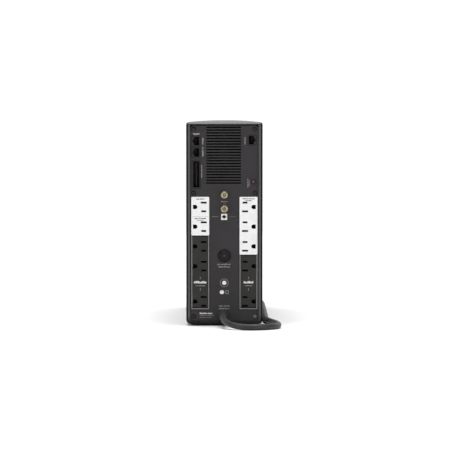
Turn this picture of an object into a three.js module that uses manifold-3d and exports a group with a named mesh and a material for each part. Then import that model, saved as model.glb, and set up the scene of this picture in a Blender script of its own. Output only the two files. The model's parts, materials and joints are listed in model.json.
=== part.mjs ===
// An uninterruptible power supply in a tower case, as an assembly of separate pieces.
// Millimetres. +Z is up, the connector panel faces -Y, +X is to the right as that panel is seen,
// and the origin is at the middle of the base, on the surface that the tower stands on.
import * as THREE from "three";
import { mergeVertices } from "three/addons/utils/BufferGeometryUtils.js";
import Module from "manifold-3d";

const wasm = await Module();
wasm.setup();

// ---------------------------------------------------------------- driving dimensions

const HALF_LENGTH = 195;          // half of the tower's overall depth, along Y
const HALF_WIDTH = 56;            // half of the tower's width, along X
const WALL = 2.5;                 // moulded wall thickness
const GAP = 0.4;                  // clearance between neighbouring pieces

const CASE = {
  bottom: 3,                      // underside of the case, above the feet
  bottomRadius: 6,                // rounding of its lower long edges
  peak: 302,                      // middle of the crowned top
  crownRadius: 395,               // radius of the crown across the width
  cornerRadius: 4,                // rounding of its upper long edges
  rear: -187,                     // rear rim
  front: 165,                     // joint between the case and the front bezel
  parting: 294.9,                 // underside of the top cover
  rearTop: 296.6,                 // height of the top cover at its rear edge
  slopeLength: 70,                // length over which the top comes down to that edge
  rimDepth: 3,                    // depth of the rim around the rear panel
  rimRadius: 5.5,                 // rounding of the rim's outer edge at the sides
  edgeRadius: 1.8,                // rounding of that edge all round
};

const PANEL = { face: -185, thickness: 2.5, halfWidth: 49.6, bottom: 7, top: 293.3, cornerRadius: 4.6 };
const PANEL_BACK = PANEL.face + PANEL.thickness;

const VENT = { slots: 21, pitch: 4.07, height: 2, left: -26.4, right: 24.4, top: 291.6 };
const SIDE_VENT = { slots: 10, pitch: 5.6, height: 2.4, rear: -150, length: 78, bottom: 214 };

const OUTLET = {
  columnX: 35.3,                  // middle of a column of outlets
  halfWidth: 13.1,
  bottom: 24.3,
  top: 189,
  centreX: 36.4,                  // halfway between the blade slots and the ground holes
  rows: [174.2, 145.4, 116.5, 87.5, 35.8],
  bladeOffset: 6.15,              // blades and ground hole lie this far each side of the centre
  bladeSpacing: 12.7,
  slotHeight: 2.7,
  wideSlot: 8.7,
  narrowSlot: 7.1,
  groundRadius: 3.1,
  groundFlat: 3.3,                // straight part of the D-shaped ground hole
  slotDepth: 17.6,
  depth: 21.6,
  face: -185.95,
  foot: 26,                       // lower groove across the column
};
const LABEL = { thickness: 0.4, recess: 0.55, leftBottom: 132.6, rightBottom: 104.5 };
const GROOVE = { height: 1.7, depth: 2, margin: 1.2 };

const JACK = {
  width: 12.6,
  height: 15,
  bodyDepth: 16,
  cavityWidth: 7.4,
  cavityHeight: 12.4,
  cavityDepth: 13,
};
const JACKS = [
  { name: "network_jack_in", x: -41.6, z: 270.6, turned: false },
  { name: "network_jack_out", x: -41.6, z: 254, turned: false },
  { name: "data_port", x: 40.6, z: 272, turned: true },
];
const BATTERY_SOCKET = { x: -41, z: 221.9, width: 9.3, height: 38.5, rim: 1.6, depth: 15, ribSetback: 6 };
const COAX = { heights: [191.9, 171.5], radius: 4.4, hexFlats: 11, nutThickness: 2.2, bore: 2.9 };
const LED = { x: 42.6, z: 211, radius: 2.5 };
const BREAKER = { z: 102.7, ringRadius: 9.4, bushRadius: 5.7, buttonRadius: 3.15, boreRadius: 3.5 };
const SCREWS = [[-45, 288], [44.2, 288], [-45, 194.7], [44.8, 194.7], [-44.9, 14], [44.9, 14]];
const SCREW = { headRadius: 3, recessRadius: 3.6, recessDepth: 1.4, holeRadius: 1.7, shankRadius: 1.35 };
const FAN = {
  x: -1,
  z: 250.5,
  halfSize: 30,
  rear: -176,
  depth: 20,
  bladeRadius: 27,
  hubRadius: 12,
  blades: 7,
};

const BEZEL = { peak: 194.4, bulgeRadius: 138, cornerRadius: 8, topRadius: 16, bottomRadius: 8 };
const WINDOW = { halfWidth: 33, bottom: 214, top: 258, radius: 5, thickness: 2 };
const BUTTONS = [
  { name: "power_button", x: 0, radius: 9 },
  { name: "mute_button", x: -25, radius: 6.5 },
  { name: "display_button", x: 25, radius: 6.5 },
];
const BUTTON = { z: 192, proud: 0.6, stemRadius: 3, flange: 1.3, travel: 1.2 };
const BOARD = { y: 176, thickness: 1.6, halfWidth: 42, bottom: 178, top: 266 };

const DOOR = { rear: -4, front: 156, bottom: 12, top: 145 };
const BATTERY = { rear: 0, length: 151, halfWidth: 47, height: 65, bottom: 8.7 };
const TRANSFORMER = { y: -76, z: 57, half: 46, halfDepth: 35, centreLeg: 14, windowEdge: 32 };
const MAIN_BOARD = { halfWidth: 51, rear: -150, front: 150, z: 150.4, thickness: 1.6 };

const FOOT = { radius: 11, height: 1.9, x: 38, rear: -160, front: 140 };
const PLINTH = { halfWidth: 50, rear: -183, front: 172, bottom: 1.2, top: 2.7 };

const CORD = { radius: 4.5, x: -1.9, z: 15.5, reliefEnd: -213, sides: 10 };
const COIL = { y: 267, innerTurn: 47, outerTurn: 56, layers: 2 };
const FLOOR_CLEARANCE = 0.1;

// ---------------------------------------------------------------- solids

// A closed three.js geometry as a manifold solid: only its positions, with shared corners merged.
function solid(geometry) {
  const bare = geometry.clone();
  bare.deleteAttribute("normal");
  bare.deleteAttribute("uv");
  const merged = mergeVertices(bare, 1e-5);
  return new wasm.Manifold(new wasm.Mesh({
    numProp: 3,
    vertProperties: new Float32Array(merged.attributes.position.array),
    triVerts: new Uint32Array(merged.index.array),
  }));
}

function toGeometry(manifold) {
  const mesh = manifold.getMesh();
  const geometry = new THREE.BufferGeometry();
  geometry.setAttribute("position", new THREE.BufferAttribute(new Float32Array(mesh.vertProperties), 3));
  geometry.setIndex(new THREE.BufferAttribute(new Uint32Array(mesh.triVerts), 1));
  geometry.computeVertexNormals();
  return geometry;
}

function block([x0, x1], [y0, y1], [z0, z1]) {
  const geometry = new THREE.BoxGeometry(x1 - x0, y1 - y0, z1 - z0);
  return solid(geometry.translate((x0 + x1) / 2, (y0 + y1) / 2, (z0 + z1) / 2));
}

function extrude(shape, depth, curveSegments) {
  return new THREE.ExtrudeGeometry(shape, { depth, bevelEnabled: false, steps: 1, curveSegments });
}

// A shape drawn in X and Z, extruded along Y from y0 to y1.
function prismY(shape, y0, y1, curveSegments = 3) {
  return solid(extrude(shape, y1 - y0, curveSegments).rotateX(Math.PI / 2).translate(0, y1, 0));
}

// The same, with its edges rounded at the y0 end.
function prismRoundedY(shape, y0, y1, radius, curveSegments = 3) {
  const geometry = new THREE.ExtrudeGeometry(shape, {
    depth: y1 - y0,
    curveSegments,
    steps: 1,
    bevelEnabled: true,
    bevelThickness: radius,
    bevelSize: radius,
    bevelOffset: -radius,
    bevelSegments: 3,
  });
  return solid(geometry.rotateX(Math.PI / 2).translate(0, y1 + radius, 0))
    .intersect(block([-200, 200], [y0 - 1, y1], [-10, 400]));
}

// A shape drawn in X and Y, extruded along Z from z0 to z1.
function prismZ(shape, z0, z1, curveSegments = 3) {
  return solid(extrude(shape, z1 - z0, curveSegments).translate(0, 0, z0));
}

// A shape drawn in Y and Z, extruded along X from x0 to x1.
function prismX(shape, x0, x1, curveSegments = 3) {
  const turn = new THREE.Matrix4().makeBasis(
    new THREE.Vector3(0, 1, 0),
    new THREE.Vector3(0, 0, 1),
    new THREE.Vector3(1, 0, 0),
  );
  return solid(extrude(shape, x1 - x0, curveSegments).applyMatrix4(turn).translate(x0, 0, 0));
}

// A round bar along Y.
function rodY(x, z, radius, y0, y1, segments = 24) {
  const geometry = new THREE.CylinderGeometry(radius, radius, y1 - y0, segments);
  return solid(geometry.translate(x, (y0 + y1) / 2, z));
}

// A turned piece about the Y axis, from [radius, y] points that start and end on the axis.
function turnedY(points, segments = 24) {
  return solid(new THREE.LatheGeometry(points.map(([r, y]) => new THREE.Vector2(r, y)), segments));
}

function joined(solids) {
  return solids.reduce((whole, piece) => whole.add(piece));
}

function cut(whole, cutters) {
  return cutters.reduce((rest, cutter) => rest.subtract(cutter), whole);
}

function roundedRect(x0, x1, y0, y1, r) {
  const shape = new THREE.Shape();
  shape.moveTo(x0, y0 + r);
  shape.lineTo(x0, y1 - r);
  shape.absarc(x0 + r, y1 - r, r, Math.PI, Math.PI / 2, true);
  shape.lineTo(x1 - r, y1);
  shape.absarc(x1 - r, y1 - r, r, Math.PI / 2, 0, true);
  shape.lineTo(x1, y0 + r);
  shape.absarc(x1 - r, y0 + r, r, 0, -Math.PI / 2, true);
  shape.lineTo(x0 + r, y0);
  shape.absarc(x0 + r, y0 + r, r, -Math.PI / 2, -Math.PI, true);
  return shape;
}

// A rectangle whose far side bulges in a shallow arc that runs tangent into its two round corners.
function bulgedOutline({ halfWidth, base, baseRadius, peak, bulgeRadius, cornerRadius }, inset = 0) {
  const arcY = peak - bulgeRadius;
  const cornerX = halfWidth - cornerRadius;
  const cornerY = arcY + Math.sqrt((bulgeRadius - cornerRadius) ** 2 - cornerX ** 2);
  const meet = Math.atan2(cornerY - arcY, cornerX);
  const side = halfWidth - inset;
  const shape = new THREE.Shape();
  shape.moveTo(-side, base + baseRadius);
  shape.lineTo(-side, cornerY);
  shape.absarc(-cornerX, cornerY, cornerRadius - inset, Math.PI, Math.PI - meet, true);
  shape.absarc(0, arcY, bulgeRadius - inset, Math.PI - meet, meet, true);
  shape.absarc(cornerX, cornerY, cornerRadius - inset, meet, 0, true);
  shape.lineTo(side, base + baseRadius);
  if (baseRadius > 0) {
    const r = baseRadius - inset;
    shape.absarc(halfWidth - baseRadius, base + baseRadius, r, 0, -Math.PI / 2, true);
    shape.absarc(baseRadius - halfWidth, base + baseRadius, r, -Math.PI / 2, -Math.PI, true);
  } else {
    shape.lineTo(side, base);
    shape.lineTo(-side, base);
  }
  return shape;
}

// ---------------------------------------------------------------- case

// The case's section across its width.
function section(inset) {
  return bulgedOutline({
    halfWidth: HALF_WIDTH,
    base: CASE.bottom,
    baseRadius: CASE.bottomRadius,
    peak: CASE.peak,
    bulgeRadius: CASE.crownRadius,
    cornerRadius: CASE.cornerRadius,
  }, inset);
}

// Everything above the line along which the top comes down to the rear edge.
function aboveRearSlope(drop) {
  const start = CASE.rear - 5;
  const end = CASE.rear + CASE.slopeLength;
  const shape = new THREE.Shape();
  shape.moveTo(start, CASE.rearTop - drop - 1.2);
  shape.lineTo(CASE.rear, CASE.rearTop - drop - 1.2);
  shape.lineTo(CASE.rear + 0.5, CASE.rearTop - drop - 0.5);
  shape.lineTo(CASE.rear + 1.5, CASE.rearTop - drop);
  shape.quadraticCurveTo((CASE.rear + end) / 2, CASE.peak - drop, end, CASE.peak - drop + 0.05);
  shape.lineTo(end, CASE.peak + 10);
  shape.lineTo(start, CASE.peak + 10);
  shape.closePath();
  return prismX(shape, -HALF_WIDTH - 5, HALF_WIDTH + 5, 6);
}

function caseRing() {
  const end = CASE.front - GAP;
  const plan = roundedRect(-HALF_WIDTH, HALF_WIDTH, CASE.rear, end + 20, CASE.rimRadius);
  const outside = prismRoundedY(section(0), CASE.rear, end, CASE.edgeRadius, 5)
    .intersect(prismZ(plan, 0, 310, 6))
    .subtract(aboveRearSlope(0));
  const inside = prismY(section(WALL), CASE.rear + CASE.rimDepth, end + 5, 5)
    .subtract(aboveRearSlope(WALL));
  const opening = roundedRect(-PANEL.halfWidth - GAP, PANEL.halfWidth + GAP, PANEL.bottom - GAP, 330, 5);
  const panelOpening = prismY(opening, CASE.rear - 1, CASE.rear + CASE.rimDepth + 1)
    .intersect(block([-60, 60], [-200, -150], [0, CASE.parting]));
  return cut(outside, [inside, panelOpening]);
}

const RING = caseRing();
const TRAY_HALF_WIDTH = 38;

function topCover() {
  return RING.intersect(block([-60, 60], [-200, 200], [CASE.parting, 310]));
}

function baseTray() {
  const reach = TRAY_HALF_WIDTH - GAP;
  const floor = RING.intersect(block([-reach, reach], [-200, 200], [0, 20]));
  const ribs = [-30, 30].map((x) => block([x - 1, x + 1], [-181, -132], [5, 9]));
  return joined([floor, ...ribs]);
}

// Screw posts and the ledge that carries the main board, on the inside of a side shell.
function shellFittings(side) {
  const posts = SCREWS.filter(([x]) => x * side > 0).map(([x, z]) => {
    const near = Math.abs(x) - 4;
    const post = block([near, HALF_WIDTH - 2], [PANEL_BACK + GAP, PANEL_BACK + 12], [z - 4, z + 4]);
    return post.subtract(rodY(Math.abs(x), z, SCREW.holeRadius, PANEL_BACK, PANEL_BACK + 10, 12));
  });
  const ledgeHeights = [147.6, MAIN_BOARD.z - GAP];
  const ledge = block([46, HALF_WIDTH - 2], [MAIN_BOARD.rear, MAIN_BOARD.front], ledgeHeights);
  const fittings = joined([...posts, ledge]);
  return side > 0 ? fittings : fittings.mirror([1, 0, 0]);
}

function sideVents(side) {
  return Array.from({ length: SIDE_VENT.slots }, (_, i) => {
    const z = SIDE_VENT.bottom + i * SIDE_VENT.pitch;
    const x = side * HALF_WIDTH;
    const front = SIDE_VENT.rear + SIDE_VENT.length;
    return block([x - 5, x + 5], [SIDE_VENT.rear, front], [z, z + SIDE_VENT.height]);
  });
}

function sideShell(side) {
  const reach = [[TRAY_HALF_WIDTH, 60], [-200, 200], [0, CASE.parting - GAP]];
  const keep = side > 0 ? block(...reach) : block(...reach).mirror([1, 0, 0]);
  const shell = cut(RING.intersect(keep), sideVents(side));
  return shell.add(shellFittings(side));
}

function doorOpening(clearance) {
  const [y0, y1] = [DOOR.rear + clearance, DOOR.front - clearance];
  return prismX(roundedRect(y0, y1, DOOR.bottom + clearance, DOOR.top - clearance, 6), -60, -50);
}

// The door lies flush in the left shell. A stiffening frame is inside it, and finger grooves outside.
function batteryDoor() {
  const outer = -HALF_WIDTH;
  const plate = doorOpening(0.6).intersect(block([outer, outer + WALL], [-200, 200], [0, 200]));
  const rib = doorOpening(6).intersect(block([outer + 1, outer + WALL + 2], [-200, 200], [0, 200]));
  const ribCore = doorOpening(8).intersect(block([outer + WALL, outer + WALL + 3], [-200, 200], [0, 200]));
  const grooves = Array.from({ length: 6 }, (_, i) => {
    const y = DOOR.front - 16 - i * 4.5;
    return block([outer - 1, outer + 0.9], [y, y + 2], [58, 98]);
  });
  return cut(plate.add(rib), [ribCore, ...grooves]);
}

function plinth() {
  const plate = prismZ(roundedRect(-PLINTH.halfWidth, PLINTH.halfWidth, PLINTH.rear, PLINTH.front, 8),
    PLINTH.bottom, PLINTH.top);
  const pockets = footPlaces().map(([, x, y]) => (
    block([x - 12, x + 12], [y - 12, y + 12], [0, PLINTH.bottom + 1])
  ));
  return cut(plate, pockets);
}

function footPlaces() {
  return [
    ["foot_rear_left", -FOOT.x, FOOT.rear],
    ["foot_rear_right", FOOT.x, FOOT.rear],
    ["foot_front_left", -FOOT.x, FOOT.front],
    ["foot_front_right", FOOT.x, FOOT.front],
  ];
}

// A square rubber pad with round corners, standing on the local origin.
function foot() {
  const r = FOOT.radius;
  return prismZ(roundedRect(-r, r, -r, r, 4), 0, FOOT.height);
}

// ---------------------------------------------------------------- rear panel

function ventSlots() {
  return Array.from({ length: VENT.slots }, (_, i) => {
    const z = VENT.top - i * VENT.pitch;
    return block([VENT.left, VENT.right], [PANEL.face - 1, PANEL_BACK + 1], [z - VENT.height, z]);
  });
}

function throughHole(x, z, radius, segments = 16) {
  return rodY(x, z, radius, PANEL.face - 1, PANEL_BACK + 1, segments);
}

function screwRecesses() {
  return SCREWS.flatMap(([x, z]) => [
    throughHole(x, z, SCREW.holeRadius, 12),
    rodY(x, z, SCREW.recessRadius, PANEL.face - 1, PANEL.face + SCREW.recessDepth, 16),
  ]);
}

function panelWindow(x, z, halfWidth, halfHeight, r) {
  const shape = roundedRect(x - halfWidth, x + halfWidth, z - halfHeight, z + halfHeight, r);
  return prismY(shape, PANEL.face - 1, PANEL_BACK + 1, 1);
}

function outletWindows() {
  const z = (OUTLET.bottom + OUTLET.top) / 2;
  const halfHeight = (OUTLET.top - OUTLET.bottom) / 2 + 0.8;
  const halfWidth = OUTLET.halfWidth + 0.8;
  return [-1, 1].map((side) => panelWindow(side * OUTLET.columnX, z, halfWidth, halfHeight, 1));
}

function rearPanel() {
  const edge = roundedRect(-PANEL.halfWidth, PANEL.halfWidth, PANEL.bottom, PANEL.top, PANEL.cornerRadius);
  const { width, height, rim } = BATTERY_SOCKET;
  const socketHalf = [width / 2 + rim, height / 2 + rim];
  const holes = [
    ...ventSlots(),
    ...screwRecesses(),
    ...outletWindows(),
    ...JACKS.map(({ x, z }) => panelWindow(x, z, JACK.width / 2 + 0.3, JACK.height / 2 + 0.3, 0.8)),
    panelWindow(BATTERY_SOCKET.x, BATTERY_SOCKET.z, socketHalf[0] + 0.3, socketHalf[1] + 0.3, 0.8),
    ...COAX.heights.map((z) => throughHole(0, z, COAX.radius + 0.3)),
    throughHole(LED.x, LED.z, LED.radius + 0.3),
    throughHole(0, BREAKER.z, BREAKER.bushRadius + 0.3),
    throughHole(CORD.x, CORD.z, 6.5),
  ];
  return cut(prismY(edge, PANEL.face, PANEL_BACK), holes);
}

// The three holes of one outlet, about the local origin; `turned` is the same outlet upside down.
function outletHoles(turned, y0, y1) {
  const slot = (width, z) => block(
    [OUTLET.bladeOffset - width / 2, OUTLET.bladeOffset + width / 2],
    [y0, y1],
    [z - OUTLET.slotHeight / 2, z + OUTLET.slotHeight / 2],
  );
  const ground = new THREE.Shape();
  const arcX = -OUTLET.bladeOffset;
  const r = OUTLET.groundRadius;
  ground.moveTo(arcX - OUTLET.groundFlat, -r);
  ground.lineTo(arcX, -r);
  ground.absarc(arcX, 0, r, -Math.PI / 2, Math.PI / 2, false);
  ground.lineTo(arcX - OUTLET.groundFlat, r);
  ground.closePath();
  const holes = joined([
    slot(OUTLET.wideSlot, OUTLET.bladeSpacing / 2),
    slot(OUTLET.narrowSlot, -OUTLET.bladeSpacing / 2),
    prismY(ground, y0, y1, 5),
  ]);
  return turned ? holes.rotate([0, 180, 0]) : holes;
}

function columnHoles(side, y0, y1) {
  return OUTLET.rows.map((z) => outletHoles(side > 0, y0, y1).translate([side * OUTLET.centreX, 0, z]));
}

// A column's moulding. Its label lies in a shallow recess, with a groove below it and one at the foot.
function outletBlock(side, labelBottom) {
  const { face } = OUTLET;
  const [x0, x1] = [side * OUTLET.columnX - OUTLET.halfWidth, side * OUTLET.columnX + OUTLET.halfWidth];
  const strip = prismY(roundedRect(x0, x1, OUTLET.bottom, OUTLET.top, 0.8), face, face + OUTLET.depth, 1);
  const labelHeights = [labelBottom - GAP, OUTLET.top + 1];
  const recess = block([x0 - 1, x1 + 1], [face - 1, face + LABEL.recess], labelHeights);
  const grooves = [labelBottom - GAP - GROOVE.height, OUTLET.foot].map((z) => (
    block([x0 + GROOVE.margin, x1 - GROOVE.margin], [face - 1, face + GROOVE.depth], [z, z + GROOVE.height])
  ));
  return cut(strip, [recess, ...grooves, ...columnHoles(side, face - 1, face + OUTLET.slotDepth)]);
}

function outletLabel(side, bottom) {
  const [x0, x1] = [side * OUTLET.columnX - OUTLET.halfWidth, side * OUTLET.columnX + OUTLET.halfWidth];
  const front = OUTLET.face;
  const sheet = prismY(roundedRect(x0, x1, bottom, OUTLET.top, 0.8), front, front + LABEL.thickness, 1);
  return cut(sheet, columnHoles(side, front - 1, front + 1));
}

// A socket for a modular plug, about the middle of its face, with the latch notch towards -X.
function jack() {
  const { width, height, bodyDepth, cavityWidth, cavityHeight, cavityDepth } = JACK;
  const body = block([-width / 2, width / 2], [0, bodyDepth], [-height / 2, height / 2]);
  const right = 4.8;
  const left = right - cavityWidth;
  return cut(body, [
    block([left, right], [-1, cavityDepth], [-cavityHeight / 2, cavityHeight / 2]),
    block([left - 1.1, left + 0.1], [-1, cavityDepth], [-3.2, 3.2]),
    block([left - 2.2, left - 1], [-1, cavityDepth], [-1.7, 1.7]),
  ]);
}

// The socket for an outside battery pack: a tall slot with a contact rib at its bottom.
function batterySocket() {
  const { x, z, width, height, rim, depth, ribSetback } = BATTERY_SOCKET;
  const face = PANEL.face - 0.2;
  const body = block([x - width / 2 - rim, x + width / 2 + rim], [face, face + depth + 3],
    [z - height / 2 - rim, z + height / 2 + rim]);
  const pocket = block([x - width / 2, x + width / 2], [face - 1, face + depth],
    [z - height / 2, z + height / 2]);
  const rib = block([x - 0.9, x + 0.9], [face + ribSetback, face + depth + 1],
    [z - height / 2 + 1.5, z + height / 2 - 1.5]);
  return body.subtract(pocket).add(rib);
}

// A threaded coaxial barrel about the Y axis, open at its tip.
function coaxBarrel() {
  const tip = -HALF_LENGTH;
  const r = COAX.radius;
  return turnedY([[0, -174], [r, -174], [r, tip + 0.5], [r - 0.5, tip], [COAX.bore, tip],
    [COAX.bore, tip + 4], [0, tip + 4]].reverse());
}

function hexNut(flats, bore, y0, y1) {
  const geometry = new THREE.CylinderGeometry(flats / Math.sqrt(3), flats / Math.sqrt(3), y1 - y0, 6);
  return solid(geometry.translate(0, (y0 + y1) / 2, 0)).subtract(rodY(0, 0, bore, y0 - 1, y1 + 1));
}

function ledLens() {
  const r = LED.radius;
  const face = PANEL.face;
  return turnedY([[0, face - 1.7], [r * 0.5, face - 1.5], [r * 0.87, face - 0.8], [r, face],
    [r, PANEL_BACK + GAP], [r + 1, PANEL_BACK + GAP], [r + 1, PANEL_BACK + 5], [0, PANEL_BACK + 5]], 20);
}

function breakerBody() {
  const bush = rodY(0, 0, BREAKER.bushRadius, PANEL.face - 2.4, PANEL_BACK + 3);
  const box = block([-11, 11], [PANEL_BACK + GAP, PANEL_BACK + 30], [-15, 15]);
  return joined([bush, box]).subtract(rodY(0, 0, BREAKER.boreRadius, PANEL.face - 5, PANEL_BACK + 12));
}

function breakerRing() {
  const [inner, outer] = [BREAKER.bushRadius + 0.3, BREAKER.ringRadius];
  const back = PANEL.face - 0.3;
  const profile = [[inner, back], [inner, back - 2.6], [inner + 1, back - 3], [outer - 1.4, back - 2.4],
    [outer, back - 1], [outer, back], [inner, back]];
  return turnedY(profile, 24);
}

function breakerButton() {
  const r = BREAKER.buttonRadius;
  const front = PANEL.face - 2.9;
  return turnedY([[0, front], [r - 0.5, front], [r, front + 0.5], [r, PANEL_BACK + 10],
    [0, PANEL_BACK + 10]], 20);
}

// A countersunk pan-head screw about the Y axis, its seat at y = 0 and its cross recess towards -Y.
function screw() {
  const profile = [[0, -1.4], [2.2, -1.3], [SCREW.headRadius, -0.7], [SCREW.headRadius, -0.1],
    [SCREW.shankRadius, -0.1], [SCREW.shankRadius, 9], [0, 10]];
  const cross = [block([-1.8, 1.8], [-2, -0.7], [-0.4, 0.4]), block([-0.4, 0.4], [-2, -0.7], [-1.8, 1.8])];
  return cut(turnedY(profile, 12), cross);
}

// ---------------------------------------------------------------- fan

function fanFrame() {
  const h = FAN.halfSize;
  const [y0, y1] = [0, FAN.depth];
  const shell = prismY(roundedRect(-h, h, -h, h, 4), y0, y1, 2)
    .subtract(rodY(0, 0, h - 1.6, -1, y1 + 1, 32));
  const struts = [45, 135].map((angle) => (
    block([-h, h], [y1 - 3, y1], [-1.5, 1.5]).rotate([0, angle, 0])
  ));
  const hubPlate = rodY(0, 0, FAN.hubRadius, y1 - 3, y1);
  const pin = rodY(0, 0, 1.5, y1 - 12, y1 - 2, 12);
  const panelGap = FAN.rear - PANEL_BACK - GAP;
  const bosses = [-1, 1].flatMap((sx) => [-1, 1].map((sz) => (
    rodY(sx * 27.8, sz * 27.8, 2.2, -panelGap, 0.5, 12)
  )));
  return joined([shell, ...struts, hubPlate, pin, ...bosses]);
}

function fanImpeller() {
  const hub = rodY(0, 0, FAN.hubRadius, 1.5, FAN.depth - 4);
  const blades = Array.from({ length: FAN.blades }, (_, i) => (
    block([FAN.hubRadius - 2, FAN.bladeRadius], [-0.7, 0.7], [-7.5, 7.5])
      .rotate([38, 0, 0])
      .translate([0, 9, 0])
      .rotate([0, i * 360 / FAN.blades, 0])
  ));
  return joined([hub, ...blades]).subtract(rodY(0, 0, 1.9, FAN.depth - 13.5, FAN.depth, 12));
}

// ---------------------------------------------------------------- front bezel

function bezelSolid(inset, back) {
  const plan = bulgedOutline({
    halfWidth: HALF_WIDTH,
    base: back,
    baseRadius: 0,
    peak: BEZEL.peak,
    bulgeRadius: BEZEL.bulgeRadius,
    cornerRadius: BEZEL.cornerRadius,
  }, inset);
  const [bottom, top, front] = [CASE.bottom + inset, CASE.peak - inset, BEZEL.peak - inset];
  const [rb, rt] = [BEZEL.bottomRadius - inset, BEZEL.topRadius - inset];
  const profile = new THREE.Shape();
  profile.moveTo(back, bottom);
  profile.lineTo(front - rb, bottom);
  profile.absarc(front - rb, bottom + rb, rb, -Math.PI / 2, 0, false);
  profile.lineTo(front, top - rt);
  profile.absarc(front - rt, top - rt, rt, 0, Math.PI / 2, false);
  profile.lineTo(back, top);
  profile.closePath();
  return prismZ(plan, 0, 310, 12)
    .intersect(prismY(section(inset), back, 200, 5))
    .intersect(prismX(profile, -60, 60, 4));
}

const BEZEL_OUTSIDE = bezelSolid(0, CASE.front);

function windowPrism(clearance) {
  const { halfWidth, bottom, top, radius } = WINDOW;
  const half = halfWidth - clearance;
  return prismY(roundedRect(-half, half, bottom + clearance, top - clearance, radius), 170, 200);
}

function frontBezel() {
  const hollow = bezelSolid(WALL, CASE.front - 5);
  const styleLine = block([-60, 60], [CASE.front + 4, 200], [169, 170.6])
    .subtract(bezelSolid(1, CASE.front - 5));
  const buttonHoles = BUTTONS.map(({ x, radius }) => rodY(x, BUTTON.z, radius + GAP, 170, 200, 24));
  const posts = [-38, 38].flatMap((x) => [BOARD.bottom + 4, BOARD.top - 4].map((z) => (
    rodY(x, z, 3, BOARD.y + BOARD.thickness + GAP, 187.5, 12)
  )));
  return joined([cut(BEZEL_OUTSIDE, [hollow, styleLine, windowPrism(0), ...buttonHoles]), ...posts]);
}

function displayWindow() {
  const lens = BEZEL_OUTSIDE.subtract(BEZEL_OUTSIDE.translate([0, -WINDOW.thickness, 0]));
  return lens.intersect(windowPrism(0.3)).intersect(block([-60, 60], [170, 200], [0, 310]));
}

// A button cap follows the bezel's curve. Its stem reaches back to a switch on the display board.
function frontButton({ x, radius }) {
  const rise = Math.sqrt(BEZEL.bulgeRadius ** 2 - (Math.abs(x) + radius) ** 2);
  const faceY = BEZEL.peak - BEZEL.bulgeRadius + rise;
  const innerFace = faceY - WALL;
  const flangeFront = innerFace - 1.2;
  const cap = BEZEL_OUTSIDE.translate([0, BUTTON.proud, 0])
    .intersect(rodY(x, BUTTON.z, radius, flangeFront - 1.5, 200, 24));
  const flange = rodY(x, BUTTON.z, radius + BUTTON.flange, flangeFront - 1.5, flangeFront, 24);
  const stem = rodY(x, BUTTON.z, BUTTON.stemRadius, BOARD.y + 5.6 + BUTTON.travel, flangeFront, 16);
  return joined([cap, flange, stem]);
}

function displayBoard() {
  const { y, thickness, halfWidth, bottom, top } = BOARD;
  const board = block([-halfWidth, halfWidth], [y, y + thickness], [bottom, top]);
  const switches = BUTTONS.map(({ x }) => (
    block([x - 3, x + 3], [y + thickness - 0.2, y + 5.2], [BUTTON.z - 3, BUTTON.z + 3])
  ));
  return joined([board, ...switches]);
}

function lcdModule() {
  const y0 = BOARD.y + BOARD.thickness + GAP;
  return block([-30, 30], [y0, y0 + 7], [WINDOW.bottom + 2, WINDOW.top - 2]);
}

// ---------------------------------------------------------------- inside

function battery() {
  const { length, halfWidth, height } = BATTERY;
  const outline = roundedRect(-halfWidth, halfWidth, 0, height, 2);
  const body = prismY(outline, 0, length, 1);
  const groove = block([halfWidth - 9, halfWidth - 8], [-1, length + 1], [-1, height + 1])
    .subtract(block([halfWidth - 10, halfWidth], [1, length - 1], [1, height - 1]));
  const tabs = [-1, 1].map((end) => {
    const z = height / 2 + end * 24;
    return block([halfWidth - 0.5, halfWidth + 3], [4, 10], [z - 3, z + 3]);
  });
  return joined([body.subtract(groove), ...tabs]);
}

function batteryCradle() {
  const { rear, length, halfWidth } = BATTERY;
  const top = BATTERY.bottom - GAP;
  const floor = block([-halfWidth - 3, halfWidth + 3], [rear - 4, rear + length + 4], [6, top]);
  const stop = block([-halfWidth - 3, halfWidth + 3], [rear - 4, rear - 1], [6, 70]);
  return joined([floor, stop]);
}

function transformerCore() {
  const { half, halfDepth, centreLeg, windowEdge } = TRANSFORMER;
  const stack = block([-half, half], [-halfDepth, halfDepth], [-half, half]);
  const windows = [-1, 1].map((side) => {
    const x = [side * centreLeg, side * windowEdge].sort((a, b) => a - b);
    return block(x, [-halfDepth - 1, halfDepth + 1], [-windowEdge, windowEdge]);
  });
  return cut(stack, windows);
}

function transformerWinding() {
  const { halfDepth, centreLeg, windowEdge } = TRANSFORMER;
  const outer = windowEdge - GAP;
  const reach = halfDepth + 15;
  const coil = prismZ(roundedRect(-outer, outer, -reach, reach, 8), -outer, outer);
  const inner = centreLeg + GAP;
  const core = block([-inner, inner], [-halfDepth - GAP, halfDepth + GAP], [-outer - 1, outer + 1]);
  return coil.subtract(core);
}

function transformerBracket() {
  const { half, halfDepth } = TRANSFORMER;
  const low = -half - GAP;
  const plate = block([-half - 3, half + 3], [-halfDepth - 4, halfDepth + 4], [low - 3, low]);
  const ears = [-1, 1].map((side) => {
    const x = [side * (half + GAP), side * (half + 3)].sort((a, b) => a - b);
    return block(x, [-12, 12], [low - 1, 20]);
  });
  return joined([plate, ...ears]);
}

// Fins on a base plate, along Y.
function heatsink() {
  const base = block([-16, 16], [0, 80], [0, 5]);
  const fins = Array.from({ length: 7 }, (_, i) => {
    const x = -16 + i * 5;
    return block([x, x + 2], [0, 80], [4, 38]);
  });
  return joined([base, ...fins]);
}

function uprightCylinder(radius, height) {
  const geometry = new THREE.CylinderGeometry(radius, radius, height, 24);
  return solid(geometry.rotateX(Math.PI / 2).translate(0, 0, height / 2));
}

// ---------------------------------------------------------------- power cord

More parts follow.
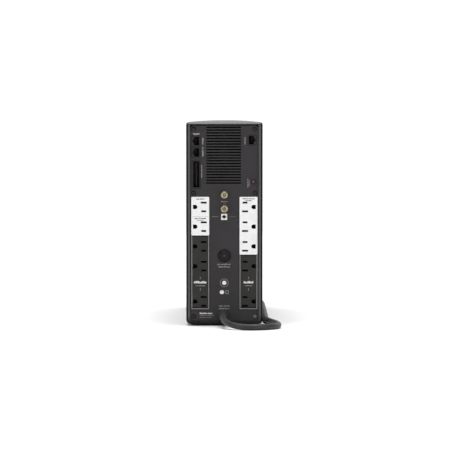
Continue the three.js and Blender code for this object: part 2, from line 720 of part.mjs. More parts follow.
function strainRelief() {
  const { reliefEnd } = CORD;
  const outside = [[0, reliefEnd], [5.2, reliefEnd], [7, PANEL.face - 3], [7, PANEL.face - 0.5]];
  const inside = [[6.1, PANEL.face - 0.5], [6.1, PANEL_BACK + 0.4], [7.6, PANEL_BACK + 0.4],
    [7.6, PANEL_BACK + 4], [0, PANEL_BACK + 4]];
  return turnedY([...outside, ...inside]);
}

// The stretch from the strain relief to the coil: out, down to the floor, round a wide half turn
// and forward beside the tower's right wall.
const CORD_ROUTE = [
  [-1.9, -213.5, 15.5],
  [-1.9, -224, 14.6],
  [0.9, -239, 11.2],
  [9.7, -252.3, 7.4],
  [22.4, -260.8, 5.2],
  [38, -264, 4.6],
  [53.6, -260.8, 4.6],
  [66.3, -252.3, 4.6],
  [75, -239.3, 4.6],
  [78, -224, 4.6],
  [77.3, -208, 4.6],
  [74.5, -190, 4.6],
  [70.5, -172, 4.6],
  [66.6, -154, 4.6],
  [63.7, -136, 4.6],
  [62.3, -118, 4.6],
  [62, -100, 4.6],
  [62, -50, 4.6],
  [62, 0, 4.6],
  [62, 50, 4.6],
  [62, 100, 4.6],
  [62, 150, 4.6],
  [62, 180, 4.6],
  [62, 200, 4.6],
  [61.2, 220, 4.6],
  [59.6, 234, 4.6],
];

function tubeAlong(points, steps) {
  const section2d = new THREE.Shape();
  Array.from({ length: CORD.sides }, (_, i) => (i + 0.5) * 2 * Math.PI / CORD.sides).forEach((angle, i) => {
    const [u, v] = [CORD.radius * Math.cos(angle), CORD.radius * Math.sin(angle)];
    if (i === 0) section2d.moveTo(u, v);
    else section2d.lineTo(u, v);
  });
  section2d.closePath();
  const path = new THREE.CatmullRomCurve3(points.map((p) => new THREE.Vector3(...p)));
  return solid(new THREE.ExtrudeGeometry(section2d, { steps, bevelEnabled: false, extrudePath: path }));
}

// The turns of the coil, as one ring about the local Z axis.
function cordCoil() {
  const inner = COIL.innerTurn - CORD.radius;
  const outer = COIL.outerTurn + CORD.radius;
  const height = 2 * CORD.radius * COIL.layers;
  const profile = [[inner, 2], [inner + 2, 0], [outer - 2, 0], [outer, 2], [outer, height - 2],
    [outer - 2, height], [inner + 2, height], [inner, height - 2], [inner, 2]];
  const geometry = new THREE.LatheGeometry(profile.map(([r, y]) => new THREE.Vector2(r, y)), 32);
  return solid(geometry.rotateX(Math.PI / 2));
}

// The cord's last stretch, on top of the coil, up to the plug.
const TAIL_ROUTE = [
  [-25.7, 216.3, 23.4],
  [-17.5, 212.4, 26.2],
  [-11, 210.6, 27.6],
  [-4.4, 209.8, 28.2],
];

// A grounded plug lying along +X from its cord end: a tapered moulding with two blades and a pin.
function plug() {
  const body = [[0, -7], [6, -8], [13, -12.5], [34, -13.5], [40, -12], [40, 12], [34, 13.5], [13, 12.5],
    [6, 8], [0, 7]];
  const shape = new THREE.Shape(body.map(([u, v]) => new THREE.Vector2(u, v)));
  const side = [[0, -7], [8, -8], [14, -9.5], [40, -9.5], [40, 9.5], [14, 9.5], [8, 8], [0, 7]];
  const profile = new THREE.Shape(side.map(([u, v]) => new THREE.Vector2(u, v)));
  const moulding = prismZ(shape, -10, 10).intersect(prismY(profile, -20, 20));
  const blades = [-1, 1].map((side) => (
    block([39, 57], [side * 6.35 - 0.8, side * 6.35 + 0.8], [-6.2, 0.2])
  ));
  const pin = solid(new THREE.CylinderGeometry(2.4, 2.4, 22, 12).rotateZ(Math.PI / 2).translate(50, 0, 6));
  return joined([moulding, ...blades, pin]);
}

// ---------------------------------------------------------------- assembly

const FINISH = {
  casePlastic: { color: 0x3a393b, roughness: 0.5, metalness: 0 },
  sidePlastic: { color: 0x151516, roughness: 0.4, metalness: 0 },
  topPlastic: { color: 0x3a393b, roughness: 0.35, metalness: 0 },
  glossBlack: { color: 0x09090a, roughness: 0.12, metalness: 0 },
  darkPlastic: { color: 0x2a292a, roughness: 0.6, metalness: 0 },
  socketBlack: { color: 0x141414, roughness: 0.6, metalness: 0 },
  labelWhite: { color: 0xf2f2f3, roughness: 0.55, metalness: 0 },
  rubber: { color: 0x111111, roughness: 0.8, metalness: 0 },
  cordJacket: { color: 0x2b2829, roughness: 0.55, metalness: 0 },
  nickel: { color: 0xb7a98c, roughness: 0.3, metalness: 1 },
  steel: { color: 0x8d8d90, roughness: 0.4, metalness: 1 },
  aluminium: { color: 0xb9bcc0, roughness: 0.4, metalness: 1 },
  coreSteel: { color: 0x4a4b4e, roughness: 0.6, metalness: 0.8 },
  winding: { color: 0xa46a2a, roughness: 0.5, metalness: 0.4 },
  circuitBoard: { color: 0x1d5a34, roughness: 0.5, metalness: 0 },
  smokedWindow: { color: 0x0c0e12, roughness: 0.08, metalness: 0 },
  displayGrey: { color: 0x4d5a52, roughness: 0.3, metalness: 0 },
  batteryGrey: { color: 0x3f4246, roughness: 0.6, metalness: 0 },
  ledRed: { color: 0x5a1d31, roughness: 0.25, metalness: 0 },
};

const ups = new THREE.Group();

function place(name, manifold, finish, { position = [0, 0, 0], rotation = [0, 0, 0] } = {}, parent = ups) {
  const mesh = new THREE.Mesh(toGeometry(manifold), new THREE.MeshStandardMaterial(FINISH[finish]));
  mesh.name = name;
  mesh.position.set(...position);
  mesh.rotation.set(...rotation);
  parent.add(mesh);
}

function subgroup(...position) {
  const group = new THREE.Group();
  group.position.set(...position);
  ups.add(group);
  return group;
}

function addCase() {
  place("left_side_shell", sideShell(-1).subtract(doorOpening(0)), "sidePlastic");
  place("right_side_shell", sideShell(1), "sidePlastic");
  place("top_cover", topCover(), "topPlastic");
  place("base_tray", baseTray(), "sidePlastic");
  place("battery_door", batteryDoor(), "sidePlastic");
  place("base_plinth", plinth(), "rubber");
  footPlaces().forEach(([name, x, y]) => place(name, foot(), "rubber", { position: [x, y, 0] }));
}

function addRearPanel() {
  place("rear_panel", rearPanel(), "casePlastic");
  place("outlet_block_left", outletBlock(-1, LABEL.leftBottom), "darkPlastic");
  place("outlet_block_right", outletBlock(1, LABEL.rightBottom), "darkPlastic");
  place("outlet_label_left", outletLabel(-1, LABEL.leftBottom), "labelWhite");
  place("outlet_label_right", outletLabel(1, LABEL.rightBottom), "labelWhite");
  JACKS.forEach(({ name, x, z, turned }) => {
    place(name, jack(), "socketBlack", {
      position: [x, PANEL.face - 0.2, z],
      rotation: [0, turned ? Math.PI : 0, 0],
    });
  });
  place("battery_socket", batterySocket(), "socketBlack");
  COAX.heights.forEach((z, i) => {
    const group = subgroup(0, 0, z);
    const end = ["in", "out"][i];
    const nutBack = PANEL.face - 0.3;
    place(`coax_${end}`, coaxBarrel(), "nickel", {}, group);
    const nut = hexNut(COAX.hexFlats, COAX.radius + 0.3, nutBack - COAX.nutThickness, nutBack);
    place(`coax_nut_${end}`, nut, "nickel", {}, group);
  });
  place("wiring_fault_led", ledLens(), "ledRed", { position: [LED.x, 0, LED.z] });
  SCREWS.forEach(([x, z], i) => {
    place(`panel_screw_${i + 1}`, screw(), "steel", {
      position: [x, PANEL.face + SCREW.recessDepth, z],
      rotation: [0, i * 0.7, 0],
    });
  });
}

function addBreaker() {
  const group = subgroup(0, 0, BREAKER.z);
  place("breaker_body", breakerBody(), "socketBlack", {}, group);
  place("breaker_ring", breakerRing(), "socketBlack", {}, group);
  place("breaker_button", breakerButton(), "socketBlack", {}, group);
}

function addFan() {
  const group = subgroup(FAN.x, FAN.rear, FAN.z);
  place("fan_frame", fanFrame(), "socketBlack", {}, group);
  place("fan_impeller", fanImpeller(), "socketBlack", {}, group);
}

function addFront() {
  place("front_bezel", frontBezel(), "glossBlack");
  place("display_window", displayWindow(), "smokedWindow");
  place("lcd_module", lcdModule(), "displayGrey");
  place("display_board", displayBoard(), "circuitBoard");
  BUTTONS.forEach((button) => place(button.name, frontButton(button), "glossBlack"));
}

function addInside() {
  const { rear, bottom, height } = BATTERY;
  place("battery_lower", battery(), "batteryGrey", { position: [0, rear, bottom] });
  place("battery_upper", battery(), "batteryGrey", { position: [0, rear, bottom + height + GAP] });
  place("battery_cradle", batteryCradle(), "darkPlastic");
  const transformer = subgroup(0, TRANSFORMER.y, TRANSFORMER.z);
  place("transformer_core", transformerCore(), "coreSteel", {}, transformer);
  place("transformer_winding", transformerWinding(), "winding", {}, transformer);
  place("transformer_bracket", transformerBracket(), "steel", {}, transformer);
  const { halfWidth, z, thickness } = MAIN_BOARD;
  const board = block([-halfWidth, halfWidth], [MAIN_BOARD.rear, MAIN_BOARD.front], [z, z + thickness]);
  place("main_board", board, "circuitBoard");
  const onBoard = subgroup(0, 0, z + thickness + GAP);
  place("heatsink_left", heatsink(), "aluminium", { position: [-26, -110, 0] }, onBoard);
  place("heatsink_right", heatsink(), "aluminium", { position: [26, -110, 0] }, onBoard);
  place("capacitor_1", uprightCylinder(11, 36), "darkPlastic", { position: [-18, 10, 0] }, onBoard);
  place("capacitor_2", uprightCylinder(11, 36), "darkPlastic", { position: [12, 10, 0] }, onBoard);
  place("transfer_relay", block([-14, 14], [-6, 6], [0, 25]), "darkPlastic", { position: [-10, 60, 0] }, onBoard);
  place("alarm_buzzer", uprightCylinder(6, 9), "socketBlack", { position: [25, 120, 0] }, onBoard);
}

function addCord() {
  place("strain_relief", strainRelief(), "rubber", { position: [CORD.x, 0, CORD.z] });
  place("power_cord", tubeAlong(CORD_ROUTE, 46), "cordJacket");
  place("power_cord_coil", cordCoil(), "cordJacket", { position: [0, COIL.y, FLOOR_CLEARANCE] });
  place("power_cord_tail", tubeAlong(TAIL_ROUTE, 4), "cordJacket");
  place("mains_plug", plug(), "rubber", { position: [-3.8, 209.7, 28.2], rotation: [0, 0, -0.07] });
}

addCase();
addRearPanel();
addBreaker();
addFan();
addFront();
addInside();
addCord();

export default ups;
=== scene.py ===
# The looks of an uninterruptible power supply in a tower case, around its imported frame.
# +Z is up, the connector panel faces -Y, and +X is to the right as that panel is seen.
# Sizes are written in millimetres and turned into metres where a mesh, light or camera is made.
import json
import math
import random

import bmesh
import bpy
from mathutils import Matrix, Vector


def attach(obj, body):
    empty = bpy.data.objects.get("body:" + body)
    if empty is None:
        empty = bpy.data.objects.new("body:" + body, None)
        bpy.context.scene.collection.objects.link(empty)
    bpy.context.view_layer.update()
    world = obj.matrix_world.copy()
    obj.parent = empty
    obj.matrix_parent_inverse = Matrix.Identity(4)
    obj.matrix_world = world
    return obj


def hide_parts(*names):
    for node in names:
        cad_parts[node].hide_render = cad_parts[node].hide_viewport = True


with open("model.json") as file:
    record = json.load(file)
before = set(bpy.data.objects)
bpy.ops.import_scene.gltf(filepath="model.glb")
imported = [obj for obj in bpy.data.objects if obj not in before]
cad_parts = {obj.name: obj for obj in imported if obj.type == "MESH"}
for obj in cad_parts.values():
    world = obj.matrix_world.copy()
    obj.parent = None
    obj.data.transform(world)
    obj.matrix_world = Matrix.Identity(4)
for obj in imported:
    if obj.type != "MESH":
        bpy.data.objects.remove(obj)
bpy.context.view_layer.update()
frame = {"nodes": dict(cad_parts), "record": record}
NODES = frame["nodes"]
BODY = {node: body for body, nodes in frame["record"]["behaviour"]["bodies"].items() for node in nodes}
MM = 0.001

# ---- sizes

PANEL_FACE = -185.0               # outer face of the rear panel
PRINT_DEPTH = 0.06                # thickness of printed ink
LABEL_FACE = -185.95              # front of the outlet columns and their labels
COLUMN = {"x": 35.3, "half": 13.1, "bottom": 24.3, "centre": 36.4}
LABEL_BOTTOM = {-1: 132.6, 1: 104.5}
OUTLET_ROWS = [174.2, 145.4, 116.5, 87.5, 35.8]
BORDER = 1.2                      # width of the light line round the dark outlets
RIM_HIGHLIGHT_EDGE = (53.1, 53.6)           # where the painted highlight of the rim gives way to black across the width
RIM_HIGHLIGHT_FRONT = (-185.6, -185.1)      # and along the depth
RIM_HIGHLIGHT_FOOT = (5, 14)                # height over which the painted highlight fades out towards the base
RIM_BACK = (-182.5, -182)         # depth of the outer corner, which is duller than the sides
BULGE = {"peak": 194.4, "radius": 138, "corner_x": 48, "corner_radius": 8, "meets": 50.9}
CROWN = {"peak": 302, "radius": 395}
FILLETS = [(178.4, 286, 16), (186.4, 11, 8)]    # Y, Z and radius of the front's upper and lower rounding
STYLE_GROOVE = (164, 176)         # stretch round the groove across the front that is cut no finer
BUTTONS = {"power_button": 0, "mute_button": -25, "display_button": 25}
BUTTON_HEIGHT = 192
BUTTON_PROUD = 0.6
LCD_FACE = 185.0
BREAKER = (0, 102.7)              # X and Z of the breaker's centre
LAMP = (42.6, 211)                # X and Z of the wiring-fault lamp
COAX_HEIGHTS = {"in": 191.9, "out": 171.5}
JACKS = [(-41.6, 270.6, 1), (-41.6, 254, 1), (40.6, 272, -1)]    # X, Z and the contacts' side
SCREWS = [(-45, 288), (44.2, 288), (-45, 194.7), (44.8, 194.7), (-44.9, 14), (44.9, 14)]
FAN = {"x": -1, "z": 250.5, "rear": -176, "hub": 12, "blade": 27, "blades": 7}
FLOW_MARKS = 0.00002              # depth in metres of a moulded face's slow unevenness
CORD_EXIT = (-1.9, 15.5)          # X and Z at which the mains cord leaves the panel
CORD_RADIUS = 4.5
COIL_CENTRE = (0, 267)
COIL_TURNS = (47, 56)             # radius of the inner and the outer turns
FLOOR_LEVEL = 4.6                 # height of the cord's centre where it lies on the floor
CAMERA = {"aim": (0.9, -185, 147.8), "distance": 3000, "elevation": 2, "lens": 164}


def metres(*point):
    return Vector(point) * MM


def link(obj):
    """Puts an object into the scene."""
    bpy.context.scene.collection.objects.link(obj)


def ease(x):
    """A smooth step from 0 to 1."""
    x = min(max(x, 0), 1)
    return x * x * (3 - 2 * x)


# ---- camera

def add_camera():
    data = bpy.data.cameras.new("camera")
    data.sensor_width = 36
    data.lens = CAMERA["lens"]
    data.clip_end = 100
    camera = bpy.data.objects.new("camera", data)
    link(camera)
    tilt = math.radians(CAMERA["elevation"])
    back = Vector((0, -math.cos(tilt), math.sin(tilt)))
    camera.location = metres(*CAMERA["aim"]) + back * CAMERA["distance"] * MM
    camera.rotation_euler = (-back).to_track_quat("-Z", "Y").to_euler()
    bpy.context.scene.camera = camera


add_camera()

# ---- materials


def linear(colour):
    """A hex colour such as 0x3a393b, as linear RGBA."""
    channels = [(colour >> shift & 255) / 255 for shift in (16, 8, 0)]
    return (*[c / 12.92 if c <= 0.04045 else ((c + 0.055) / 1.055) ** 2.4 for c in channels], 1.0)


class Finish:
    """A procedural material, put together round one Principled shader. Texture sizes are in metres."""

    def __init__(self, name, **sockets):
        self.material = bpy.data.materials.new(name)
        self.material.use_nodes = True
        self.tree = self.material.node_tree
        self.shader = self.tree.nodes["Principled BSDF"]
        self.feed(self.shader, **sockets)
        self.place = self.node("ShaderNodeTexCoord").outputs["Object"]

    def node(self, kind, **properties):
        made = self.tree.nodes.new(kind)
        for key, value in properties.items():
            setattr(made, key, value)
        return made

    def feed(self, node, **inputs):
        """Sets or links a node's inputs by name, with an underscore for each space."""
        for key, value in inputs.items():
            self.put(node.inputs[key.replace("_", " ")], value)
        return node

    def put(self, socket, value):
        """Links a socket to another one, or sets its value."""
        if isinstance(value, bpy.types.NodeSocket):
            self.tree.links.new(value, socket)
        else:
            socket.default_value = value

    def scaled(self, size, stretch=(1, 1, 1)):
        mapping = self.node("ShaderNodeMapping")
        self.feed(mapping, Vector=self.place, Scale=[s / size for s in stretch])
        return mapping.outputs["Vector"]

    def noise(self, size, detail=2.0, stretch=(1, 1, 1)):
        made = self.node("ShaderNodeTexNoise")
        return self.feed(made, Vector=self.scaled(size, stretch), Scale=1.0, Detail=detail).outputs["Fac"]

    def cells(self, size):
        made = self.node("ShaderNodeTexVoronoi")
        return self.feed(made, Vector=self.scaled(size), Scale=1.0).outputs["Distance"]

    def bands(self, size, direction, distortion=0.0):
        made = self.node("ShaderNodeTexWave", bands_direction=direction)
        self.feed(made, Vector=self.scaled(size), Scale=1.0, Distortion=distortion)
        return made.outputs["Fac"]

    def ramp(self, factor, stops):
        made = self.node("ShaderNodeValToRGB")
        self.feed(made, Fac=factor)
        points = made.color_ramp.elements
        while len(points) < len(stops):
            points.new(0.5)
        for point, (position, colour) in zip(points, stops):
            point.position = position
            point.color = colour
        return made.outputs["Color"]

    def blend(self, factor, low, high):
        made = self.node("ShaderNodeMix", data_type="RGBA")
        for index, value in ((0, factor), (6, low), (7, high)):
            self.put(made.inputs[index], value)
        return made.outputs[2]

    def ranged(self, factor, low, high, start=0.3, end=0.7):
        made = self.node("ShaderNodeMapRange")
        self.feed(made, Value=factor, From_Min=start, From_Max=end, To_Min=low, To_Max=high)
        return made.outputs["Result"]

    def product(self, one, other):
        made = self.node("ShaderNodeMath", operation="MULTIPLY")
        self.tree.links.new(one, made.inputs[0])
        self.tree.links.new(other, made.inputs[1])
        return made.outputs["Value"]

    def tint(self, factor, low, high, start=0.3, end=0.7):
        """Varies the base colour between two hex colours."""
        self.paint(self.ramp(factor, [(start, linear(low)), (end, linear(high))]))

    def paint(self, colour):
        self.feed(self.shader, Base_Color=colour)

    def gloss(self, factor, low, high):
        """Varies the roughness."""
        self.feed(self.shader, Roughness=self.ranged(factor, low, high))

    def bump(self, *layers):
        """Stacks bump layers, each a height and its depth in metres."""
        normal = None
        for height, depth in layers:
            made = self.node("ShaderNodeBump")
            self.feed(made, Height=height, Distance=depth, Strength=1.0)
            if normal:
                self.feed(made, Normal=normal)
            normal = made.outputs["Normal"]
        self.feed(self.shader, Normal=normal)


def moulded(name, low, high, roughness, grain=0.0007, depth=0.00004, specular=0.5):
    """Moulded plastic with a spark-eroded grain, faint flow marks and handling marks."""
    finish = Finish(name, Specular_IOR_Level=specular)
    finish.tint(finish.noise(0.035, 5.0), low, high)
    finish.gloss(finish.noise(0.012, 4.0), roughness - 0.01, roughness + 0.02)
    finish.bump((finish.noise(grain, 3.0), depth), (finish.noise(0.03, 1.0), FLOW_MARKS))
    return finish.material


def shell_plastic():
    """Black satin plastic, made greyer along the rim that frames the rear panel, as a painted highlight of
    the light the rim catches.
    """
    finish = Finish("side_plastic")
    parts = finish.node("ShaderNodeSeparateXYZ")
    finish.feed(parts, Vector=finish.place)
    across = finish.node("ShaderNodeMath", operation="ABSOLUTE")
    finish.feed(across, Value=parts.outputs["X"])
    inside = finish.ranged(across.outputs["Value"], 1, 0, *[x * MM for x in RIM_HIGHLIGHT_EDGE])
    behind = finish.ranged(parts.outputs["Y"], 1, 0, *[y * MM for y in RIM_HIGHLIGHT_FRONT])
    above = finish.ranged(parts.outputs["Z"], 0.15, 1, *[z * MM for z in RIM_HIGHLIGHT_FOOT])
    corner = finish.ranged(parts.outputs["Y"], 1, 0, *[y * MM for y in RIM_BACK])
    # painted highlight: mask of the rim's rear face, fading out towards the base
    rim = finish.product(finish.product(inside, behind), above)
    flow = finish.noise(0.035, 5.0)
    black = finish.ramp(flow, [(0.3, linear(0x0a0a0b)), (0.7, linear(0x101010))])
    painted_highlight_grey = finish.ramp(flow, [(0.3, linear(0x38363a)), (0.7, linear(0x424043))])
    # the rim's rear face is painted lighter, as a painted highlight over the black plastic
    finish.paint(finish.blend(rim, black, painted_highlight_grey))
    sheen = finish.ranged(corner, 0.35, finish.ranged(rim, 0.05, 0.5, 0, 1), 0, 1)
    finish.feed(finish.shader, Specular_IOR_Level=sheen)
    finish.gloss(finish.noise(0.012, 4.0), 0.38, 0.4)
    finish.bump((finish.noise(0.0007, 3.0), 0.00004), (finish.noise(0.03, 1.0), FLOW_MARKS))
    return finish.material


def gloss_black():
    """Piano-black plastic: a clear gloss with a trace of orange peel and fine dust."""
    finish = Finish("gloss_black", Coat_Weight=0.2, Coat_Roughness=0.04)
    dust = finish.ramp(finish.noise(0.0011, 2.0), [(0.7, linear(0x070708)), (0.84, linear(0x1c1c1e))])
    finish.paint(dust)
    finish.gloss(finish.noise(0.02, 6.0), 0.08, 0.16)
    finish.bump((finish.noise(0.006, 1.0), 0.0000015))
    return finish.material


def rubber(name, low, high, roughness):
    finish = Finish(name, Specular_IOR_Level=0.4, Sheen_Weight=0.08, Sheen_Roughness=0.5)
    finish.tint(finish.noise(0.012, 6.0), low, high)
    finish.gloss(finish.noise(0.006, 4.0), roughness - 0.08, roughness + 0.08)
    finish.bump((finish.noise(0.0009, 3.0), 0.00003))
    return finish.material


def metal(name, low, high, roughness, brush=(1, 1, 1), size=0.002):
    """Plated or drawn metal, with brush marks along the axis whose stretch is small."""
    finish = Finish(name, Metallic=1.0)
    grain = finish.noise(size, 5.0, brush)
    finish.tint(grain, low, high)
    finish.gloss(grain, roughness - 0.08, roughness + 0.12)
    finish.bump((finish.noise(size / 3, 3.0, brush), 0.00001))
    return finish.material


def label_white():
    """Printed vinyl: nearly white, a little mottled, with a satin film."""
    finish = Finish("label_white", Coat_Weight=0.15, Coat_Roughness=0.35)
    finish.tint(finish.noise(0.01, 5.0), 0xdededf, 0xe8e8e8)
    finish.gloss(finish.noise(0.008, 3.0), 0.42, 0.55)
    finish.bump((finish.noise(0.0015, 2.0), 0.00001))
    return finish.material


def ink(name, low, high):
    finish = Finish(name, Roughness=0.6, Specular_IOR_Level=0.2)
    finish.tint(finish.noise(0.0012, 4.0), low, high)
    finish.bump((finish.noise(0.0006, 2.0), 0.00001))
    return finish.material


def laminated_steel():
    """The cut edges of stacked core sheets."""
    finish = Finish("core_steel", Metallic=0.8)
    sheets = finish.bands(0.0011, "Y", 0.4)
    finish.paint(finish.blend(finish.noise(0.01, 4.0), finish.ramp(sheets, [
        (0.2, linear(0x2c2d30)), (0.7, linear(0x5a5c60)),
    ]), linear(0x3a3230)))
    finish.gloss(sheets, 0.45, 0.7)
    finish.bump((sheets, 0.00012))
    return finish.material


def enamelled_winding():
    """Turns of enamelled copper wire, varnished together."""
    finish = Finish("winding", Metallic=0.55, Coat_Weight=0.4, Coat_Roughness=0.2)
    turns = finish.bands(0.0042, "Z", 0.6)
    copper = [(0.1, linear(0x4a2409)), (0.6, linear(0xa4601f)), (1.0, linear(0xc9863b))]
    finish.paint(finish.ramp(turns, copper))
    finish.gloss(turns, 0.3, 0.5)
    finish.bump((turns, 0.0004))
    return finish.material


def circuit_board():
    """Green solder mask over copper tracks."""
    finish = Finish("circuit_board", Coat_Weight=0.3, Coat_Roughness=0.2)
    made = finish.node("ShaderNodeTexBrick", offset=0.37, squash=1.6)
    finish.feed(made, Vector=finish.scaled(0.006), Scale=1.0, Mortar_Size=0.06, Color1=linear(0x123b22),
        Color2=linear(0x164527), Mortar=linear(0x0a2615))
    finish.paint(made.outputs["Color"])
    finish.gloss(finish.noise(0.01, 3.0), 0.35, 0.5)
    finish.bump((made.outputs["Fac"], 0.00004))
    return finish.material


def smoked_window():
    finish = Finish("smoked_window", Transmission_Weight=0.97, IOR=1.3)
    finish.tint(finish.noise(0.02, 2.0), 0xb0b4ba, 0xb8bcc2)
    finish.gloss(finish.noise(0.015, 5.0), 0.01, 0.03)
    return finish.material


def led_red():
    finish = Finish("led_red", Transmission_Weight=0.1, Coat_Weight=0.5, Coat_Roughness=0.05)
    finish.tint(finish.cells(0.0006), 0x2c0814, 0x421626)
    finish.gloss(finish.noise(0.002, 2.0), 0.1, 0.25)
    return finish.material


MATERIALS = {
    "case_plastic": moulded("case_plastic", 0x2d2b2d, 0x333133, 0.5, specular=0.22),
    "side_plastic": shell_plastic(),
    "top_plastic": moulded("top_plastic", 0x282729, 0x2e2d2f, 0.26, depth=0.00001, specular=0.6),
    "gloss_black": gloss_black(),
    "dark_plastic": moulded("dark_plastic", 0x272726, 0x2e2d2c, 0.55, specular=0.22),
    "socket_black": moulded("socket_black", 0x060606, 0x0b0b0b, 0.5, specular=0.2),
    "label_white": label_white(),
    "rubber": rubber("rubber", 0x0e0e0e, 0x171617, 0.65),
    "cord_jacket": rubber("cord_jacket", 0x1d1a1c, 0x292527, 0.45),
    "nickel": metal("nickel", 0xa3977c, 0xd0c6ac, 0.3),
    "steel": metal("steel", 0x66666a, 0x939397, 0.34),
    "aluminium": metal("aluminium", 0x9ea1a5, 0xc4c7ca, 0.4, (1, 0.05, 1)),
    "core_steel": laminated_steel(),
    "winding": enamelled_winding(),
    "circuit_board": circuit_board(),
    "smoked_window": smoked_window(),
    "display_grey": moulded("display_grey", 0x8d988c, 0x99a497, 0.3),
    "battery_grey": moulded("battery_grey", 0x34373b, 0x3d4145, 0.6),
    "led_red": led_red(),
}
LIGHT_INK = ink("light_ink", 0x7a7775, 0x999694)
WHITE_INK = ink("white_ink", 0xcfcdcb, 0xe4e3e2)
DARK_INK = ink("dark_ink", 0x0e0e0e, 0x1a1a1a)
BLACKENED = metal("blackened_steel", 0x2a2a2b, 0x4a4a4c, 0.35)
# black plastic, made darker still as painted shade, so that the vent's slots read as deep shadow
FAN_BLACK_AND_PAINTED_SHADE = moulded("fan_black_and_painted_shade", 0x020202, 0x040404, 0.6, specular=0.05)
LAMP_SURROUND = moulded("lamp_surround", 0x2a1a22, 0x35222b, 0.5, specular=0.2)
BRASS = metal("brass", 0x2c2412, 0x4a3d20, 0.5)
INSULATOR = moulded("insulator", 0x6f664f, 0x82785f, 0.5)

# ---- mesh helpers


def piece(name, bm, slot, body="chassis", material=None, smooth=32, replaces=()):
    """A mesh, measured in millimetres, as a finished piece that rides on a body."""
    bm.normal_update()
    mesh = bpy.data.meshes.new(name)
    bm.to_mesh(mesh)
    bm.free()
    mesh.transform(Matrix.Scale(MM, 4))
    mesh.shade_smooth()
    mesh.set_sharp_from_angle(angle=math.radians(smooth))
    mesh.materials.append(material or MATERIALS[slot])
    obj = bpy.data.objects.new(name, mesh)
    link(obj)
    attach(obj, body)
    if replaces:
        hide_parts(*replaces)
    return obj


def rounded_edges(obj, width, clamped=True):
    """Rounds sharp edges, by less wherever they are short if `clamped`, and evens out the shading."""
    bevel = obj.modifiers.new("rounded_edges", "BEVEL")
    bevel.width = width * MM
    bevel.segments = 2
    bevel.limit_method = "ANGLE"
    bevel.angle_limit = math.radians(40)
    bevel.use_clamp_overlap = clamped
    weighted = obj.modifiers.new("even_shading", "WEIGHTED_NORMAL")
    weighted.weight = 100
    weighted.keep_sharp = True


def node_mesh(node):
    """A CAD node's shape in millimetres, with its flat faces whole again."""
    bm = bmesh.new()
    bm.from_mesh(NODES[node].data)
    bmesh.ops.scale(bm, vec=Vector((1, 1, 1)) / MM, verts=bm.verts)
    bmesh.ops.remove_doubles(bm, verts=bm.verts, dist=0.002)
    bmesh.ops.dissolve_limit(bm, angle_limit=math.radians(0.3), verts=bm.verts, edges=bm.edges)
    return bm


def refined(node, slot, width, material=None):
    """A CAD node's shape with its edges rounded, standing for that node."""
    obj = piece(node + "_form", node_mesh(node), slot, BODY[node], material, replaces=[node])
    rounded_edges(obj, width)


def bulge(x):
    """How far forward the front reaches at a distance from its middle."""
    arc_y = BULGE["peak"] - BULGE["radius"]
    if abs(x) <= BULGE["meets"]:
        return arc_y + math.sqrt(BULGE["radius"] ** 2 - x * x)
    inner = BULGE["radius"] - BULGE["corner_radius"]
    corner_y = arc_y + math.sqrt(inner ** 2 - BULGE["corner_x"] ** 2)
    return corner_y + math.sqrt(BULGE["corner_radius"] ** 2 - (abs(x) - BULGE["corner_x"]) ** 2)


def polished(node, slot, proud=0.0, width=0.25):
    """A CAD node of the front, cut finely and laid on the true curve, so that its gloss runs clean."""
    bm = node_mesh(node)
    cuts = [((x, 0, 0), (1, 0, 0)) for x in range(-54, 55, 3)]
    cuts += [((0, y, 0), (0, 1, 0)) for y in range(167, 194, 3)]
    cuts += [((0, 0, z), (0, 0, 1)) for z in range(7, 300, 4) if not STYLE_GROOVE[0] < z < STYLE_GROOVE[1]]
    for place, across in cuts:
        parts = bm.verts[:] + bm.edges[:] + bm.faces[:]
        bmesh.ops.bisect_plane(bm, geom=parts, dist=0.001, plane_co=place, plane_no=across)
    for vert in bm.verts:
        x, y, z = vert.co
        if abs(x) < 54 and abs(y - proud - bulge(x)) < 0.15:
            vert.co.y = bulge(x) + proud
        crown = CROWN["peak"] - CROWN["radius"] + math.sqrt(CROWN["radius"] ** 2 - x * x)
        if abs(x) < 50 and abs(z - crown) < 0.2:
            vert.co.z = crown
        for fillet_y, fillet_z, radius in FILLETS:
            out = Vector((y - fillet_y, z - fillet_z))
            in_corner = out.x > 0 and out.y * (fillet_z - 150) > 0
            if in_corner and abs(out.length - radius) < 0.15:
                vert.co.y = fillet_y + out.x * radius / out.length
                vert.co.z = fillet_z + out.y * radius / out.length
    bmesh.ops.dissolve_degenerate(bm, dist=0.3, edges=bm.edges)
    obj = piece(node + "_form", bm, slot, BODY[node], replaces=[node])
    rounded_edges(obj, width, clamped=False)


def limits(node):
    """A CAD node's least and greatest corner, in millimetres."""
    corners = [Vector(v.co) / MM for v in NODES[node].data.vertices]
    return [tuple(pick(c[i] for c in corners) for i in range(3)) for pick in (min, max)]


def box(bm, x, y, z):
    """Adds a box between three pairs of limits."""
    size = [b - a for a, b in (x, y, z)]
    middle = [(a + b) / 2 for a, b in (x, y, z)]
    place = Matrix.Translation(middle) @ Matrix.Diagonal((*size, 1))
    return bmesh.ops.create_cube(bm, size=1, matrix=place)["verts"]


def prism(bm, outline, y0, y1):
    """Adds an outline of X and Z points, run clockwise as seen from -Y, as a slab from y0 to y1."""
    rings = [[bm.verts.new((x, y, z)) for x, z in outline] for y in (y0, y1)]
    bm.faces.new(rings[0][::-1])
    bm.faces.new(rings[1])
    count = len(outline)
    for i in range(count):
        j = (i + 1) % count
        bm.faces.new((rings[0][i], rings[0][j], rings[1][j], rings[1][i]))
    return rings[0] + rings[1]


